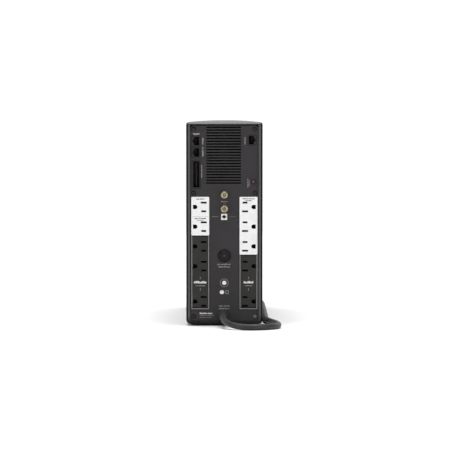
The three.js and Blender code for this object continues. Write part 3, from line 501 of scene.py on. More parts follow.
def lathe(bm, profile, centre=(0, 0), segments=48, radius_at=None):
    """Adds a solid turned about a line along Y through `centre`, from (radius, y) points."""
    rings = []
    for radius, y in profile:
        if radius == 0:
            rings.append([bm.verts.new((centre[0], y, centre[1]))])
            continue
        ring = []
        for i in range(segments):
            angle = 2 * math.pi * i / segments
            r = radius_at(angle, radius, y) if radius_at else radius
            ring.append(bm.verts.new((centre[0] + r * math.cos(angle), y, centre[1] + r * math.sin(angle))))
        rings.append(ring)
    for a, b in zip(rings, rings[1:]):
        for i in range(segments):
            j = (i + 1) % segments
            corners = [a[i % len(a)], b[i % len(b)], b[j % len(b)], a[j % len(a)]]
            unique = list(dict.fromkeys(corners))
            bm.faces.new(unique)
    bmesh.ops.remove_doubles(bm, verts=bm.verts, dist=0.0005)
    bmesh.ops.recalc_face_normals(bm, faces=bm.faces)


def turned(name, profile, centre, segments, slot, radius_at=None, **options):
    """A lathed solid as a finished piece."""
    bm = bmesh.new()
    lathe(bm, profile, centre, segments, radius_at)
    return piece(name, bm, slot, **options)


def regular(count, radius, centre=(0, 0), turn=0.0, squash=1.0):
    """A regular outline in X and Z, clockwise as seen from -Y."""
    angles = [turn - 2 * math.pi * i / count for i in range(count)]
    return [(centre[0] + radius * math.cos(a), centre[1] + radius * squash * math.sin(a)) for a in angles]


def ring_mark(bm, outer, inner, centre, y, count=40):
    """A flat printed ring."""
    a, b = regular(count, outer, centre), regular(count, inner, centre)
    for i in range(count):
        j = (i + 1) % count
        prism(bm, [a[i], a[j], b[j], b[i]], y - PRINT_DEPTH, y)


def carve(obj, cutter):
    """Cuts a mesh, measured in millimetres, out of a piece, and keeps the result as its mesh."""
    mesh = bpy.data.meshes.new("cutter")
    cutter.to_mesh(mesh)
    cutter.free()
    mesh.transform(Matrix.Scale(MM, 4))
    tool = bpy.data.objects.new("cutter", mesh)
    link(tool)
    modifier = obj.modifiers.new("cut", "BOOLEAN")
    modifier.operation = "DIFFERENCE"
    modifier.solver = "EXACT"
    modifier.use_self = True
    modifier.object = tool
    graph = bpy.context.evaluated_depsgraph_get()
    result = bpy.data.meshes.new_from_object(obj.evaluated_get(graph))
    obj.modifiers.remove(modifier)
    material = obj.data.materials[0]
    obj.data = result
    result.materials.clear()
    result.materials.append(material)
    for polygon in result.polygons:
        polygon.material_index = 0
    result.shade_smooth()
    result.set_sharp_from_angle(angle=math.radians(32))
    bpy.data.objects.remove(tool)


# ---- mains cord

CORD_ROUTE = [
    (-1.9, -213.5, 15.5),
    (-1.9, -224, 14.6),
    (0.9, -239, 11.2),
    (9.7, -252.3, 7.4),
    (22.4, -260.8, 5.2),
    (38, -264, 4.6),
    (53.6, -260.8, 4.6),
    (66.3, -252.3, 4.6),
    (75, -239.3, 4.6),
    (78, -224, 4.6),
    (77.3, -208, 4.6),
    (74.5, -190, 4.6),
    (70.5, -172, 4.6),
    (66.6, -154, 4.6),
    (63.7, -136, 4.6),
    (62.3, -118, 4.6),
    (62, -100, 4.6),
    (62, -50, 4.6),
    (62, 0, 4.6),
    (62, 50, 4.6),
    (62, 100, 4.6),
    (62, 150, 4.6),
    (62, 180, 4.6),
    (62, 200, 4.6),
    (61.2, 220, 4.6),
    (59, 240, 4.6),
]


def coil_point(degrees):
    """Four turns: outer and inner below, inner and outer above, then over the top to the plug."""
    inner, outer = COIL_TURNS
    diameter = 2 * CORD_RADIUS
    step = outer - inner
    radius = outer - step * ease((degrees - 170) / 180) + step * ease((degrees - 890) / 180)
    radius += 1.5 * ease((degrees - 1290) / 55)
    height = FLOOR_LEVEL + diameter * ease((degrees - 540) / 170) + 14.6 * ease((degrees - 1289) / 57)
    angle = math.radians(degrees)
    return (COIL_CENTRE[0] + radius * math.cos(angle), COIL_CENTRE[1] + radius * math.sin(angle), height)


def smooth_curve(name, points, radius):
    """A round cord along a smooth line through the points."""
    curve = bpy.data.curves.new(name, "CURVE")
    curve.dimensions = "3D"
    curve.bevel_depth = radius * MM
    curve.bevel_resolution = 5
    curve.resolution_u = 6
    curve.use_fill_caps = True
    spline = curve.splines.new("BEZIER")
    spline.bezier_points.add(len(points) - 1)
    spots = [metres(*p) for p in points]
    for i, knot in enumerate(spline.bezier_points):
        before, here, after = spots[max(i - 1, 0)], spots[i], spots[min(i + 1, len(spots) - 1)]
        along = (after - before).normalized()
        knot.handle_left_type = knot.handle_right_type = "FREE"
        knot.co = here
        knot.handle_left = here - along * (here - before).length / 3
        knot.handle_right = here + along * (after - here).length / 3
    obj = bpy.data.objects.new(name, curve)
    link(obj)
    return obj


def strain_relief():
    """The tapered, ribbed sleeve where the cord leaves the panel."""
    root, tip, ribs = PANEL_FACE - 3, -213.9, 6
    profile = [(0, -178.5), (7.6, -178.5), (7.6, -182.1), (6.1, -182.1), (6.1, -185.5),
        (8.2, -185.5), (8.2, -186.6), (7.6, -187.4), (7, root)]
    pitch = (root - tip - 3) / ribs
    for i in range(ribs):
        y = root - 1.2 - i * pitch
        wide, narrow = 6.9 - 1.5 * i / ribs, 5.7 - 0.8 * i / ribs
        profile += [(wide, y), (wide, y - pitch * 0.42)]
        profile += [(narrow, y - pitch * 0.54), (narrow, y - pitch * 0.88)]
    profile += [(5.3, tip + 1.6), (5.1, tip), (0, tip)]
    return turned("cord_strain_relief", profile, CORD_EXIT, 40, "rubber", smooth=40,
        replaces=["strain_relief"])


def plug_pieces():
    """The moulded plug, lying along +X, and its blades and pin."""
    place = Matrix.Translation((-3.8, 209.7, 28.2)) @ Matrix.Rotation(-0.07, 4, "Z")
    sections = [(0, 6.2, 6.0), (1.5, 7, 6.8), (6, 7.8, 7.2), (12, 10.5, 8.6), (14, 11.8, 8.9),
        (15.5, 11.2, 8.5), (17, 12.4, 9.1), (18.5, 11.6, 8.6), (20, 12.8, 9.2), (21.5, 12, 8.7),
        (23, 13.1, 9.3), (30, 13.4, 9.5), (36, 13.4, 9.5), (39, 13, 9.2), (40, 12.2, 8.5)]
    bm = bmesh.new()
    rings = []
    for x, half_y, half_z in sections:
        ring = []
        for i in range(40):
            c, s = math.cos(2 * math.pi * i / 40), math.sin(2 * math.pi * i / 40)
            y = half_y * math.copysign(abs(c) ** 0.6, c)
            z = half_z * math.copysign(abs(s) ** 0.6, s)
            ring.append(bm.verts.new((x, y, z)))
        rings.append(ring)
    for a, b in zip(rings, rings[1:]):
        for i in range(40):
            j = (i + 1) % 40
            bm.faces.new((a[i], a[j], b[j], b[i]))
    bm.faces.new(rings[0][::-1])
    bm.faces.new(rings[-1])
    bmesh.ops.recalc_face_normals(bm, faces=bm.faces)
    bm.transform(place)
    body = piece("mains_plug_moulding", bm, "rubber", smooth=50, replaces=["mains_plug"])
    bm = bmesh.new()
    for side in (-1, 1):
        box(bm, (39, 56.6), (side * 6.35 - 0.8, side * 6.35 + 0.8), (-6.2, 0.2))
    lathe(bm, [(0, 39), (2.4, 39), (2.4, 58.5), (2.1, 59.8), (1.3, 60.8), (0, 61)], segments=28)
    pin = [v for v in bm.verts if abs(v.co.x) < 3]
    bmesh.ops.rotate(bm, matrix=Matrix.Rotation(-math.pi / 2, 3, "Z"), verts=pin)
    bmesh.ops.translate(bm, vec=(0, 0, 6), verts=pin)
    bm.transform(place)
    contacts = piece("mains_plug_contacts", bm, "nickel")
    rounded_edges(contacts, 0.3)
    return body, contacts


def coil_tie(name, degrees):
    """A flat tie round the four strands of the coil."""
    middle = sum(COIL_TURNS) / 2
    half = 2 * CORD_RADIUS + 0.35
    corner = 4.8
    bm = bmesh.new()
    count = 40
    rings = []
    for i in range(count):
        angle = 2 * math.pi * i / count
        c, s = math.cos(angle), math.sin(angle)
        out = [math.copysign(min(abs(v) * 1.35, 1) * (half - corner) + corner * abs(v), v) for v in (c, s)]
        ring = []
        for across in (-3, 3):
            for lift in (0, 0.8):
                r = middle + out[0] + c * lift
                z = max(FLOOR_LEVEL + CORD_RADIUS + out[1] + s * lift, 0.02 + 0.1 * (1 - lift))
                ring.append(bm.verts.new((r, across, z)))
        rings.append([ring[0], ring[1], ring[3], ring[2]])
    for i in range(count):
        a, b = rings[i], rings[(i + 1) % count]
        for j in range(4):
            bm.faces.new((a[j], b[j], b[(j + 1) % 4], a[(j + 1) % 4]))
    bmesh.ops.recalc_face_normals(bm, faces=bm.faces)
    bm.transform(Matrix.Translation((*COIL_CENTRE, 0)) @ Matrix.Rotation(math.radians(degrees), 4, "Z"))
    return piece(name, bm, "rubber")


def add_cord():
    points = CORD_ROUTE + [coil_point(a) for a in range(4, 1347, 6)]
    cord = smooth_curve("mains_cord", points, CORD_RADIUS)
    cord.data.materials.append(MATERIALS["cord_jacket"])
    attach(cord, "chassis")
    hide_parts("power_cord", "power_cord_coil", "power_cord_tail")
    extras = [strain_relief(), *plug_pieces(), coil_tie("coil_tie_1", 60), coil_tie("coil_tie_2", 130)]


add_cord()

# ---- printed marks


def flat_bar(bm, x, z, y):
    """A printed bar between two limits in X and two in Z, on a face at y."""
    box(bm, x, (y - PRINT_DEPTH, y), z)


def greeked(bm, x0, x1, z, height, y, seed, upright=False, word=(3, 8)):
    """A line of made-up marks the size of small print, running along X, or along Z where upright."""
    draw = random.Random(seed)
    at, letters = x0, draw.randint(*word)
    while at < x1:
        width = height * draw.uniform(0.3, 0.6)
        tall = height * draw.choice((0.7, 0.7, 1.0))
        sides = ((at, min(at + width, x1)), (z - height / 2, z - height / 2 + tall))
        flat_bar(bm, *(sides[::-1] if upright else sides), y)
        at += width + height * 0.14
        letters -= 1
        if letters == 0:
            at += height * 0.45
            letters = draw.randint(*word)


def column_print(side):
    """The light border and the marks on the dark part of a column of outlets."""
    face = LABEL_FACE
    bm = bmesh.new()
    left, right = side * COLUMN["x"] - COLUMN["half"], side * COLUMN["x"] + COLUMN["half"]
    bottom, top = COLUMN["bottom"], LABEL_BOTTOM[side] - 0.6
    flat_bar(bm, (left + 0.15, left + BORDER), (bottom + 0.15, top), face)
    flat_bar(bm, (right - BORDER, right - 0.15), (bottom + 0.15, top), face)
    flat_bar(bm, (left + BORDER, right - BORDER), (bottom + 0.15, bottom + BORDER), face)
    piece(f"outlet_border_{'left' if side < 0 else 'right'}", bm, "label_white", material=LIGHT_INK)


def dark_area_print():
    bm = bmesh.new()
    faint = bmesh.new()
    for middle, half, seed in ((-35.3, 9.3, 11), (35.3, 7, 12)):
        greeked(bm, middle - half, middle + half, 64, 3.4, LABEL_FACE, seed, word=(9, 12))
        greeked(faint, middle - half * 0.75, middle + half * 0.75, 59, 1.5, LABEL_FACE, seed + 5)
        for z in (70, 53.4):
            flat_bar(faint, (middle - 0.35, middle + 0.35), (z - 1.6, z + 1.6), LABEL_FACE)
    piece("outlet_faint_marks", faint, "label_white", material=LIGHT_INK)
    piece("outlet_marks", bm, "label_white", material=WHITE_INK)


def label_print():
    bm = bmesh.new()
    face = LABEL_FACE
    greeked(bm, -41.2, -29.4, 186, 1.8, face, 21)
    greeked(bm, -43.5, -27, 157.4, 1.7, face, 22)
    greeked(bm, -40, -30, 154.7, 1.1, face, 23)
    for i in range(12):
        x = -47 + i * 2
        flat_bar(bm, (x, x + 1.3), (159.8, 160.15), face)
    greeked(bm, 27, 44, 186.3, 1.7, face, 24)
    greeked(bm, 30.5, 40.5, 183.5, 1.4, face, 25)
    piece("label_marks", bm, "label_white", material=DARK_INK)


# Start, end, place across, height and seed of the panel's lines of print.
UPRIGHT_PRINT = [
    (265.7, 275.5, -31.2, 2.6, 265),
    (248, 262, -31.2, 2.6, 248),
    (216.7, 236, -33, 1.6, 33),
    (265.6, 276, 30.3, 1.8, 34),
    (202.5, 216, 34.4, 1.3, 35),
    (204.5, 214.5, 36.4, 1.1, 36),
]
LEVEL_PRINT = [
    (-5, 5, 182, 1.3, 37),
    (-1.5, 3, 178.8, 0.9, 38),
    (-10.5, 9, 90.4, 2, 39),
    (-8.5, 8, 86.6, 2, 40),
    (-8, 7.5, 29.2, 1.7, 41),
    (-8, 7.5, 25.3, 1.9, 42),
    (-36, -14.5, 15.2, 1.0, 43),
    (-36, -19, 12.4, 1.0, 44),
]


def panel_print():
    """The light marks on the rear panel beside its connectors."""
    face = PANEL_FACE
    bm = bmesh.new()
    prism(bm, [(-46.6, 281.9), (-35.5, 281.9), (-37.4, 279.6), (-44.7, 279.6)], face - PRINT_DEPTH, face)
    for start, end, x, height, seed in UPRIGHT_PRINT:
        greeked(bm, start, end, x, height, face, seed, upright=True)
    for start, end, z, height, seed in LEVEL_PRINT:
        greeked(bm, start, end, z, height, face, seed)
    flat_bar(bm, (-18.8, -9), (159.7, 160.1), face)
    flat_bar(bm, (7.6, 17), (159.8, 160), face)
    ring_mark(bm, 6.1, 5.6, (-0.2, 63), face)
    for z in (46.8, 51):
        flat_bar(bm, (1.7, 6.1), (z, z + 0.7), face)
    for x in (1.7, 5.4):
        flat_bar(bm, (x, x + 0.7), (47.5, 51), face)
    piece("panel_marks", bm, "label_white", material=LIGHT_INK)


def panel_symbols():
    """Plain shapes where the panel carries marks: a diamond on a square, a hexagon and a round spot."""
    face = PANEL_FACE
    bm = bmesh.new()
    flat_bar(bm, (-4.8, 4), (155.2, 164.2), face)
    prism(bm, regular(6, 3.3, (-0.2, 63), turn=math.pi / 2), face - PRINT_DEPTH, face)
    prism(bm, regular(24, 3.2, (-3.7, 49.3), squash=0.9), face - PRINT_DEPTH, face)
    greeked(bm, -36, -17.5, 18.4, 2.1, face, 51, word=(8, 10))
    piece("panel_symbols", bm, "label_white", material=WHITE_INK)
    bm = bmesh.new()
    diamond = regular(4, 3.7, (-0.4, 159.8), turn=math.pi / 2, squash=0.8)
    prism(bm, diamond, face - 2 * PRINT_DEPTH, face - PRINT_DEPTH)
    piece("panel_symbol_diamond", bm, "socket_black", material=DARK_INK)


# ---- rear panel fittings


def outlet_contacts():
    """Spring leaves deep inside the blade slots and the ground holes."""
    bm = bmesh.new()
    for side in (-1, 1):
        for z in OUTLET_ROWS:
            middle = side * COLUMN["centre"]
            blades, ground = middle - side * 6.15, middle + side * 6.9
            for up in (-1, 1):
                for lip in (-1, 1):
                    zc = z + up * 6.35 + lip * 1.25
                    box(bm, (blades - 2.9, blades + 2.9), (-176, -169), (zc - 0.12, zc + 0.12))
            for lip in (-1, 1):
                zc = z + lip * 2.2
                box(bm, (ground - 1.6, ground + 1.6), (-175.5, -169.5), (zc - 0.25, zc + 0.25))
            box(bm, (ground - 1.1, ground + 1.1), (-170.6, -169.6), (z - 2.2, z + 2.2))
    piece("outlet_contacts", bm, "nickel", material=BRASS)


def jack_contacts():
    """Eight gilt spring wires in each modular jack, slanting from its mouth to its back."""
    bm = bmesh.new()
    for x, z, toward in JACKS:
        for i in range(8):
            zc = z + (i - 3.5) * 1.27
            bend = [(4.6, -182.8), (4.1, -183.1), (1.4, -175.2), (1.9, -174.9)]
            wire = [(x + toward * out, y) for out, y in bend]
            corners = [[bm.verts.new((px, py, zc + dz)) for px, py in wire] for dz in (-0.2, 0.2)]
            bm.faces.new(corners[0])
            bm.faces.new(corners[1][::-1])
            for j in range(4):
                k = (j + 1) % 4
                bm.faces.new((corners[0][k], corners[0][j], corners[1][j], corners[1][k]))
    bmesh.ops.recalc_face_normals(bm, faces=bm.faces)
    piece("jack_contacts", bm, "nickel", material=BRASS)


def socket_contacts():
    """The rows of contact leaves on both sides of the battery socket's rib."""
    bm = bmesh.new()
    for i in range(12):
        z = 206.2 + i * 2.85
        for side in (-1, 1):
            near = -41 + side * 1.02
            box(bm, sorted((near, near + side * 0.35)), (-177.6, -171), (z - 0.7, z + 0.7))
    piece("battery_socket_contacts", bm, "nickel", material=BRASS)


def coax_connector(end, z):
    """A threaded barrel with its insulator, and a chamfered hex nut."""
    tip, root, pitch = -195.0, -187.6, 0.8
    centre = (0, z)
    steps = int((root - tip - 1.4) / (pitch / 6))

    def thread(angle, radius, y):
        if radius < 4.1 or not tip + 0.6 < y < root - 0.3:
            return radius
        phase = (y / pitch - angle / (2 * math.pi)) % 1
        return radius - 0.34 * abs(2 * phase - 1)

    outside = [(4.4, root - 0.6 - i * pitch / 6) for i in range(steps + 1)]
    profile = [(0, -174), (4.4, -174), *outside, (4.4, tip + 0.5), (3.9, tip), (3.1, tip), (2.9, tip + 0.2),
        (2.9, tip + 4), (0, tip + 4)]
    turned(f"coax_{end}_barrel", profile, centre, 48, "nickel", thread, replaces=[f"coax_{end}"], smooth=50)
    profile = [(0, tip + 3.9), (2.85, tip + 3.9), (2.85, tip + 1.8), (1.1, tip + 1.8), (0.7, tip + 3.4),
        (0, tip + 3.4)]
    turned(f"coax_{end}_insulator", profile, centre, 32, "label_white", material=INSULATOR)
    profile = [(0.5, tip + 3.3), (0.5, tip + 1.4), (1, tip + 1.4), (1, tip + 3.3), (0.5, tip + 3.3)]
    turned(f"coax_{end}_contact", profile, centre, 24, "nickel")
    back = PANEL_FACE - 0.3

    def six_sided(angle, radius, y):
        if radius < 5.4:
            return radius
        return min(radius, 5.4 / math.cos((angle + 0.2) % (math.pi / 3) - math.pi / 6), 5.8)

    profile = [(4.45, back), (5.8, back), (5.8, back - 1.6), (5.41, back - 2.2), (5.1, back - 2.2),
        (4.6, back - 1.2), (4.45, back - 1.2), (4.45, back)]
    turned(f"coax_nut_{end}_hex", profile, centre, 72, "nickel", six_sided, replaces=[f"coax_nut_{end}"])


def breaker_ring():
    """The breaker's ring nut, ridged for the fingers, with the collar and the boot inside it."""
    back = PANEL_FACE - 0.3
    ridges = 30

    def ridge(angle, radius, y):
        return radius - 0.35 * (radius > 8.6) * (0.5 + 0.5 * math.cos(ridges * angle)) ** 2

    profile = [(6.9, back), (6.9, back - 2.4), (7.2, back - 2.9), (7.6, back - 2.9), (8, back - 2.5),
        (8.7, back - 2.3), (9.2, back - 1.8), (9.4, back - 1), (9.4, back), (6.9, back)]
    turned("breaker_ring_nut", profile, BREAKER, 180, "socket_black", ridge, replaces=["breaker_ring"])
    profile = [(5.8, back), (5.8, back - 2.7), (6, back - 2.9), (6.5, back - 2.9), (6.75, back - 2.5),
        (6.75, back), (5.8, back)]
    turned("breaker_collar", profile, BREAKER, 72, "dark_plastic")
    face = limits("breaker_body")[0][1]
    profile = [(3.55, face + 0.1), (3.55, face - 0.2), (3.8, face - 0.35), (4.4, face - 0.35),
        (4.7, face - 0.1), (4.7, face + 0.1), (3.55, face + 0.1)]
    turned("breaker_boot", profile, BREAKER, 60, "socket_black")


def screw_head(index, x, z, turn):
    """A pan-head screw with a tapered cross recess, in the panel's round recess."""
    seat = PANEL_FACE + 1.4
    dome = [(0, seat - 1.45), (1.2, seat - 1.4), (2.1, seat - 1.2), (2.7, seat - 0.85), (3, seat - 0.35),
        (2.95, seat - 0.1), (1.35, seat - 0.1), (1.35, seat + 9), (0, seat + 10)]
    name = f"panel_screw_{index}"
    material = None if index == 6 else BLACKENED
    head = turned(f"{name}_head", dome, (x, z), 40, "steel", material=material, replaces=[name])
    cutter = bmesh.new()
    for angle in (turn, turn + math.pi / 2):
        across = Matrix.Translation((x, seat - 1.2, z)) @ Matrix.Rotation(angle, 4, "Y")
        place = across @ Matrix.Diagonal((3.9, 1.5, 0.75, 1))
        for v in bmesh.ops.create_cube(cutter, size=1, matrix=place)["verts"]:
            if v.co.y > seat - 1.2:
                v.co.x = x + (v.co.x - x) * 0.5
                v.co.z = z + (v.co.z - z) * 0.5
    carve(head, cutter)


def led_lens():
    """The wiring-fault lamp's domed lens and the ring round it."""
    profile = [(0, -186.7)]
    for i in range(1, 9):
        t = math.pi / 2 * i / 8
        profile.append((2.5 * math.sin(t), -185 - 1.7 * math.cos(t)))
    profile += [(2.5, -182.1), (3.5, -182.1), (3.5, -177.5), (0, -177.5)]
    turned("wiring_fault_lens", profile, LAMP, 40, "led_red", replaces=["wiring_fault_led"])
    profile = [(2.52, -184.9), (2.52, -185.4), (2.8, -185.6), (3.6, -185.5), (3.9, -185.2),
        (3.9, -184.98), (2.52, -184.9)]
    turned("wiring_fault_surround", profile, LAMP, 48, "socket_black", material=LAMP_SURROUND)


# ---- fan


def fan_impeller():
    """A domed hub with seven twisted blades."""
    centre = (FAN["x"], FAN["z"])
    rear = FAN["rear"]
    bm = bmesh.new()
    hub = [(0, rear + 1.5), (9.5, rear + 1.6), (11.2, rear + 2.1), (12, rear + 3.2), (12, rear + 16),
        (10.6, rear + 16), (10.6, rear + 4), (1.9, rear + 4), (1.9, rear + 6.6), (0, rear + 6.6)]
    lathe(bm, hub, centre, 56)
    for blade in range(FAN["blades"]):
        start = 2 * math.pi * blade / FAN["blades"]
        rows = []
        for i in range(9):
            t = i / 8
            r = FAN["hub"] - 0.6 + (FAN["blade"] - FAN["hub"] + 0.6) * t
            pitch = math.radians(52 - 22 * t)
            chord = 13.5 - 1.5 * t
            row = []
            for j in range(7):
                s = (j / 6 - 0.5) * chord
                bow = 1.1 * (1 - (2 * j / 6 - 1) ** 2)
                y = rear + 9.2 + s * math.sin(pitch) - bow * math.cos(pitch)
                angle = start + 0.28 * t * t + (s * math.cos(pitch) + bow * math.sin(pitch)) / r
                row.append((r, angle, y))
            rows.append(row)
        grid = {}
        for face, lift in ((0, -0.55), (1, 0.55)):
            for i, row in enumerate(rows):
                for j, (r, angle, y) in enumerate(row):
                    spot = (centre[0] + r * math.cos(angle), y + lift, centre[1] + r * math.sin(angle))
                    grid[face, i, j] = bm.verts.new(spot)
        for i in range(8):
            for j in range(6):
                for face in (0, 1):
                    bm.faces.new([grid[face, i + a, j + b] for a, b in ((0, 0), (1, 0), (1, 1), (0, 1))])
        edge = [(i, 0) for i in range(9)] + [(8, j) for j in range(1, 7)]
        edge += [(i, 6) for i in range(7, -1, -1)] + [(0, j) for j in range(5, 0, -1)]
        for a, b in zip(edge, edge[1:] + edge[:1]):
            bm.faces.new((grid[(0, *a)], grid[(0, *b)], grid[(1, *b)], grid[(1, *a)]))
    bmesh.ops.recalc_face_normals(bm, faces=bm.faces)
    piece("fan_impeller_blades", bm, "socket_black", "fan_rotor", FAN_BLACK_AND_PAINTED_SHADE, replaces=["fan_impeller"])
    disc = [(0, rear + 1.35), (8.4, rear + 1.35), (8.6, rear + 1.5), (0, rear + 1.5)]
    turned("fan_hub_label", disc, centre, 48, "steel", body="fan_rotor", material=DARK_INK)


# ---- front

def glyph_bar(bm, x, z):
    """A printed bar between two limits, laid on a front button's curved cap."""
    made = box(bm, x, (0, 0.12), z)
    for vert in made:
        vert.co.y += bulge(vert.co.x) + BUTTON_PROUD - 0.06


def button_marks():
    """A ring with a bar on the power button, three stripes on the left one and a frame on the right one."""
    bm = bmesh.new()
    x, z = BUTTONS["power_button"], BUTTON_HEIGHT
    for i in range(40):
        start, end = (math.radians(125 + d) for d in (290 * i / 40, 290 * (i + 1) / 40))
        corners = [(x + r * math.cos(a), z + r * math.sin(a)) for a, r in
            ((start, 3.6), (end, 3.6), (end, 3), (start, 3))]
        for vert in prism(bm, corners, 0, 0.12):
            vert.co.y += bulge(vert.co.x) + BUTTON_PROUD - 0.06
    glyph_bar(bm, (x - 0.3, x + 0.3), (z + 0.6, z + 4.4))
    bmesh.ops.recalc_face_normals(bm, faces=bm.faces)
    piece("power_button_mark", bm, "label_white", "power_key", material=LIGHT_INK)
    bm = bmesh.new()
    x = BUTTONS["mute_button"]
    for i in range(3):
        glyph_bar(bm, (x - 2.1 + i * 1.6, x - 1.3 + i * 1.6), (z - 0.8 - i * 0.7, z + 0.8 + i * 0.7))
    piece("mute_button_mark", bm, "label_white", "mute_key", material=LIGHT_INK)
    bm = bmesh.new()
    x = BUTTONS["display_button"]
    for side in (-1, 1):
        glyph_bar(bm, (x - 2.6, x + 2.6), (z + side * 1.7 - 0.25, z + side * 1.7 + 0.25))
        glyph_bar(bm, (x + side * 2.35 - 0.25, x + side * 2.35 + 0.25), (z - 1.45, z + 1.45))
    piece("display_button_mark", bm, "label_white", "display_key", material=LIGHT_INK)


def lcd_bar(bm, x, z):
    """A dark segment of the display, between two limits in X and two in Z."""
    box(bm, sorted(x), (LCD_FACE - 0.02, LCD_FACE + 0.1), z)


def lcd_digit(bm, left, bottom, lit):
    """A seven-segment digit whose `left` is its left side as the display is read."""
    width, height, t = 5.4, 11.0, 0.9
    half = height / 2
    right = left - width
    level = {"a": height - t, "g": half - t / 2, "d": 0}
    upright = {"f": (left - t, half), "e": (left - t, 0), "b": (right, half), "c": (right, 0)}
    for segment in lit:
        if segment in level:
            z = bottom + level[segment]
            lcd_bar(bm, (left - t, right + t), (z, z + t))
        else:
            x, base = upright[segment]
            lcd_bar(bm, (x, x + t), (bottom + base + 0.3, bottom + base + half - 0.3))


def lcd_segments():
    """The display's segments: a number, two level meters and a frame."""
    bm = bmesh.new()
    for left, lit in ((10, "bc"), (2.5, "abged"), (-5, "abcdef")):
        lcd_digit(bm, left, 231, lit)
    for side in (-1, 1):
        for i in range(6):
            near, far = side * 18.5, side * (22.5 + 0.5 * i)
            lcd_bar(bm, (near, far), (223.5 + i * 4.3, 226 + i * 4.3))
        lcd_bar(bm, (side * 15.6, side * 15.3), (222, 250))
    lcd_bar(bm, (-27.4, 27.4), (251.6, 251.9))
    lcd_bar(bm, (-27.4, 27.4), (220.1, 220.4))
    for i in range(5):
        lcd_bar(bm, (9.6 - i * 4.2, 6.6 - i * 4.2), (224, 226.2))
    piece("lcd_segments", bm, "display_grey", material=DARK_INK)


# ---- batteries


def battery_labels():
    """A pale label with plain bars and a dark block on the door side of each battery."""
    paper, marks = bmesh.new(), bmesh.new()
    for node in ("battery_lower", "battery_upper"):
        (x0, _, z0), (_, _, z1) = limits(node)
        y0, y1 = 22, 118
        box(paper, (x0 - 0.12, x0 + 0.05), (y0, y1), (z0 + 12, z1 - 14))
        x = (x0 - 0.2, x0 - 0.05)
        box(marks, x, (y0 + 3, y1 - 3), (z1 - 24, z1 - 18))
        for i in range(5):
            z = z0 + 17 + i * 4
            box(marks, x, (y0 + 5, y0 + 38 + 9 * (i % 3)), (z, z + 1.3))
        box(marks, x, (y1 - 24, y1 - 6), (z0 + 17, z0 + 30))
    piece("battery_label_paper", paper, "label_white")
    piece("battery_label_marks", marks, "battery_grey", material=DARK_INK)


# ---- build the pieces

REFINED = [
    ("side_plastic", 0.35, ["left_side_shell", "right_side_shell", "base_tray", "battery_door"]),
    ("top_plastic", 0.35, ["top_cover"]),
    ("case_plastic", 0.25, ["rear_panel"]),
    ("dark_plastic", 0.22, ["outlet_block_left", "outlet_block_right", "network_jack_in",
        "network_jack_out", "data_port", "battery_socket", "breaker_body", "breaker_button"]),
    ("rubber", 0.4, ["base_plinth", "foot_rear_left", "foot_rear_right", "foot_front_left",
        "foot_front_right"]),
    ("battery_grey", 0.8, ["battery_lower", "battery_upper"]),
    ("display_grey", 0.3, ["lcd_module"]),
]
KEPT = {
    "label_white": ["outlet_label_left", "outlet_label_right"],
    "circuit_board": ["display_board", "main_board"],
    "core_steel": ["transformer_core"],
    "winding": ["transformer_winding"],
    "steel": ["transformer_bracket"],
    "aluminium": ["heatsink_left", "heatsink_right"],
    "dark_plastic": ["battery_cradle", "capacitor_1", "capacitor_2", "transfer_relay"],
    "socket_black": ["alarm_buzzer"],
}


def build_pieces():
    for slot, width, nodes in REFINED:
        for node in nodes:
            refined(node, slot, width)
    for slot, nodes in KEPT.items():
        for node in nodes:
            mesh = NODES[node].data
            mesh.materials.clear()
            mesh.materials.append(MATERIALS[slot])
    refined("fan_frame", "socket_black", 0.2, material=FAN_BLACK_AND_PAINTED_SHADE)
    polished("front_bezel", "gloss_black")
    polished("display_window", "smoked_window", width=0.15)
    for node in BUTTONS:
        polished(node, "gloss_black", BUTTON_PROUD)
    button_marks()
    lcd_segments()
    battery_labels()
    for side in (-1, 1):
        column_print(side)
    dark_area_print()
    label_print()
    panel_print()
    panel_symbols()
    outlet_contacts()
    jack_contacts()
    socket_contacts()
    for end, z in COAX_HEIGHTS.items():
        coax_connector(end, z)
    breaker_ring()
    for i, (x, z) in enumerate(SCREWS):
        screw_head(i + 1, x, z, 0.4 + i * 0.7)
    led_lens()
    fan_impeller()


build_pieces()

# ---- stage and light


def add_floor():
    bm = bmesh.new()
    bmesh.ops.create_grid(bm, x_segments=1, y_segments=1, size=15)
    mesh = bpy.data.meshes.new("floor")
    bm.to_mesh(mesh)
    bm.free()
    floor = bpy.data.objects.new("floor", mesh)
    finish = Finish("floor", Roughness=0.9, Specular_IOR_Level=0.1, Base_Color=(0.9, 0.9, 0.9, 1))
    mesh.materials.append(finish.material)
    link(floor)


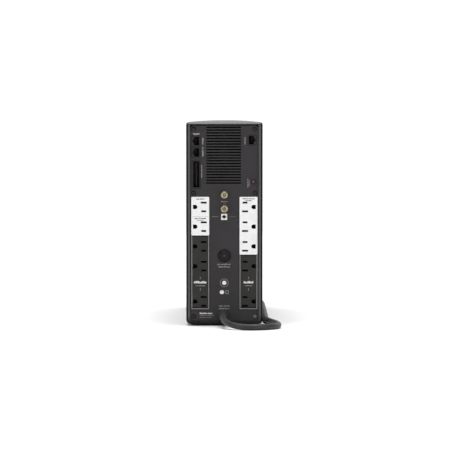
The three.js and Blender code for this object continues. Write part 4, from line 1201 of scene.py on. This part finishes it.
def softbox(name, place, aim, size, power, colour=(1, 1, 1)):
    data = bpy.data.lights.new(name, "AREA")
    data.color = colour
    data.shape = "RECTANGLE"
    data.size, data.size_y = size
    data.energy = power
    light = bpy.data.objects.new(name, data)
    light.location = place
    light.rotation_euler = (Vector(aim) - Vector(place)).to_track_quat("-Z", "Y").to_euler()
    light.visible_camera = False
    link(light)


def add_ceiling_light():
    """A wide, soft light from straight above, which keeps the floor evenly white."""
    data = bpy.data.lights.new("ceiling", "SUN")
    data.energy = 3.1
    data.angle = math.radians(50)
    link(bpy.data.objects.new("ceiling", data))


def add_world():
    """White behind the object, and a dimmer, even light from all round."""
    world = bpy.data.worlds.new("world")
    bpy.context.scene.world = world
    world.use_nodes = True
    tree = world.node_tree
    tree.nodes.clear()
    path = tree.nodes.new("ShaderNodeLightPath")
    seen = tree.nodes.new("ShaderNodeBackground")
    lit = tree.nodes.new("ShaderNodeBackground")
    mix = tree.nodes.new("ShaderNodeMixShader")
    output = tree.nodes.new("ShaderNodeOutputWorld")
    seen.inputs["Strength"].default_value = 1.05
    lit.inputs["Strength"].default_value = 0.2
    for background in (seen, lit):
        background.inputs["Color"].default_value = (1, 1, 1, 1)
    tree.links.new(path.outputs["Is Camera Ray"], mix.inputs[0])
    tree.links.new(lit.outputs[0], mix.inputs[1])
    tree.links.new(seen.outputs[0], mix.inputs[2])
    tree.links.new(mix.outputs[0], output.inputs[0])


add_floor()
add_world()
add_ceiling_light()
softbox("key", (-2.0, -2.2, 1.2), (0, -0.1, 0.15), (2.0, 1.6), 25)
softbox("fill", (2.0, -2.2, 1.0), (0, -0.1, 0.15), (2.0, 1.6), 20)
softbox("backdrop_glow", (0, 3.2, 1.1), (0, 0, 0.3), (2.6, 1.6), 9, (1, 0.97, 0.93))
softbox("front_left", (1.9, 1.7, 1.3), (0, 0.1, 0.15), (1.2, 1.6), 14)
softbox("front_right", (-1.9, 1.7, 1.3), (0, 0.1, 0.15), (1.2, 1.6), 14)
bpy.context.scene.view_settings.view_transform = "Standard"
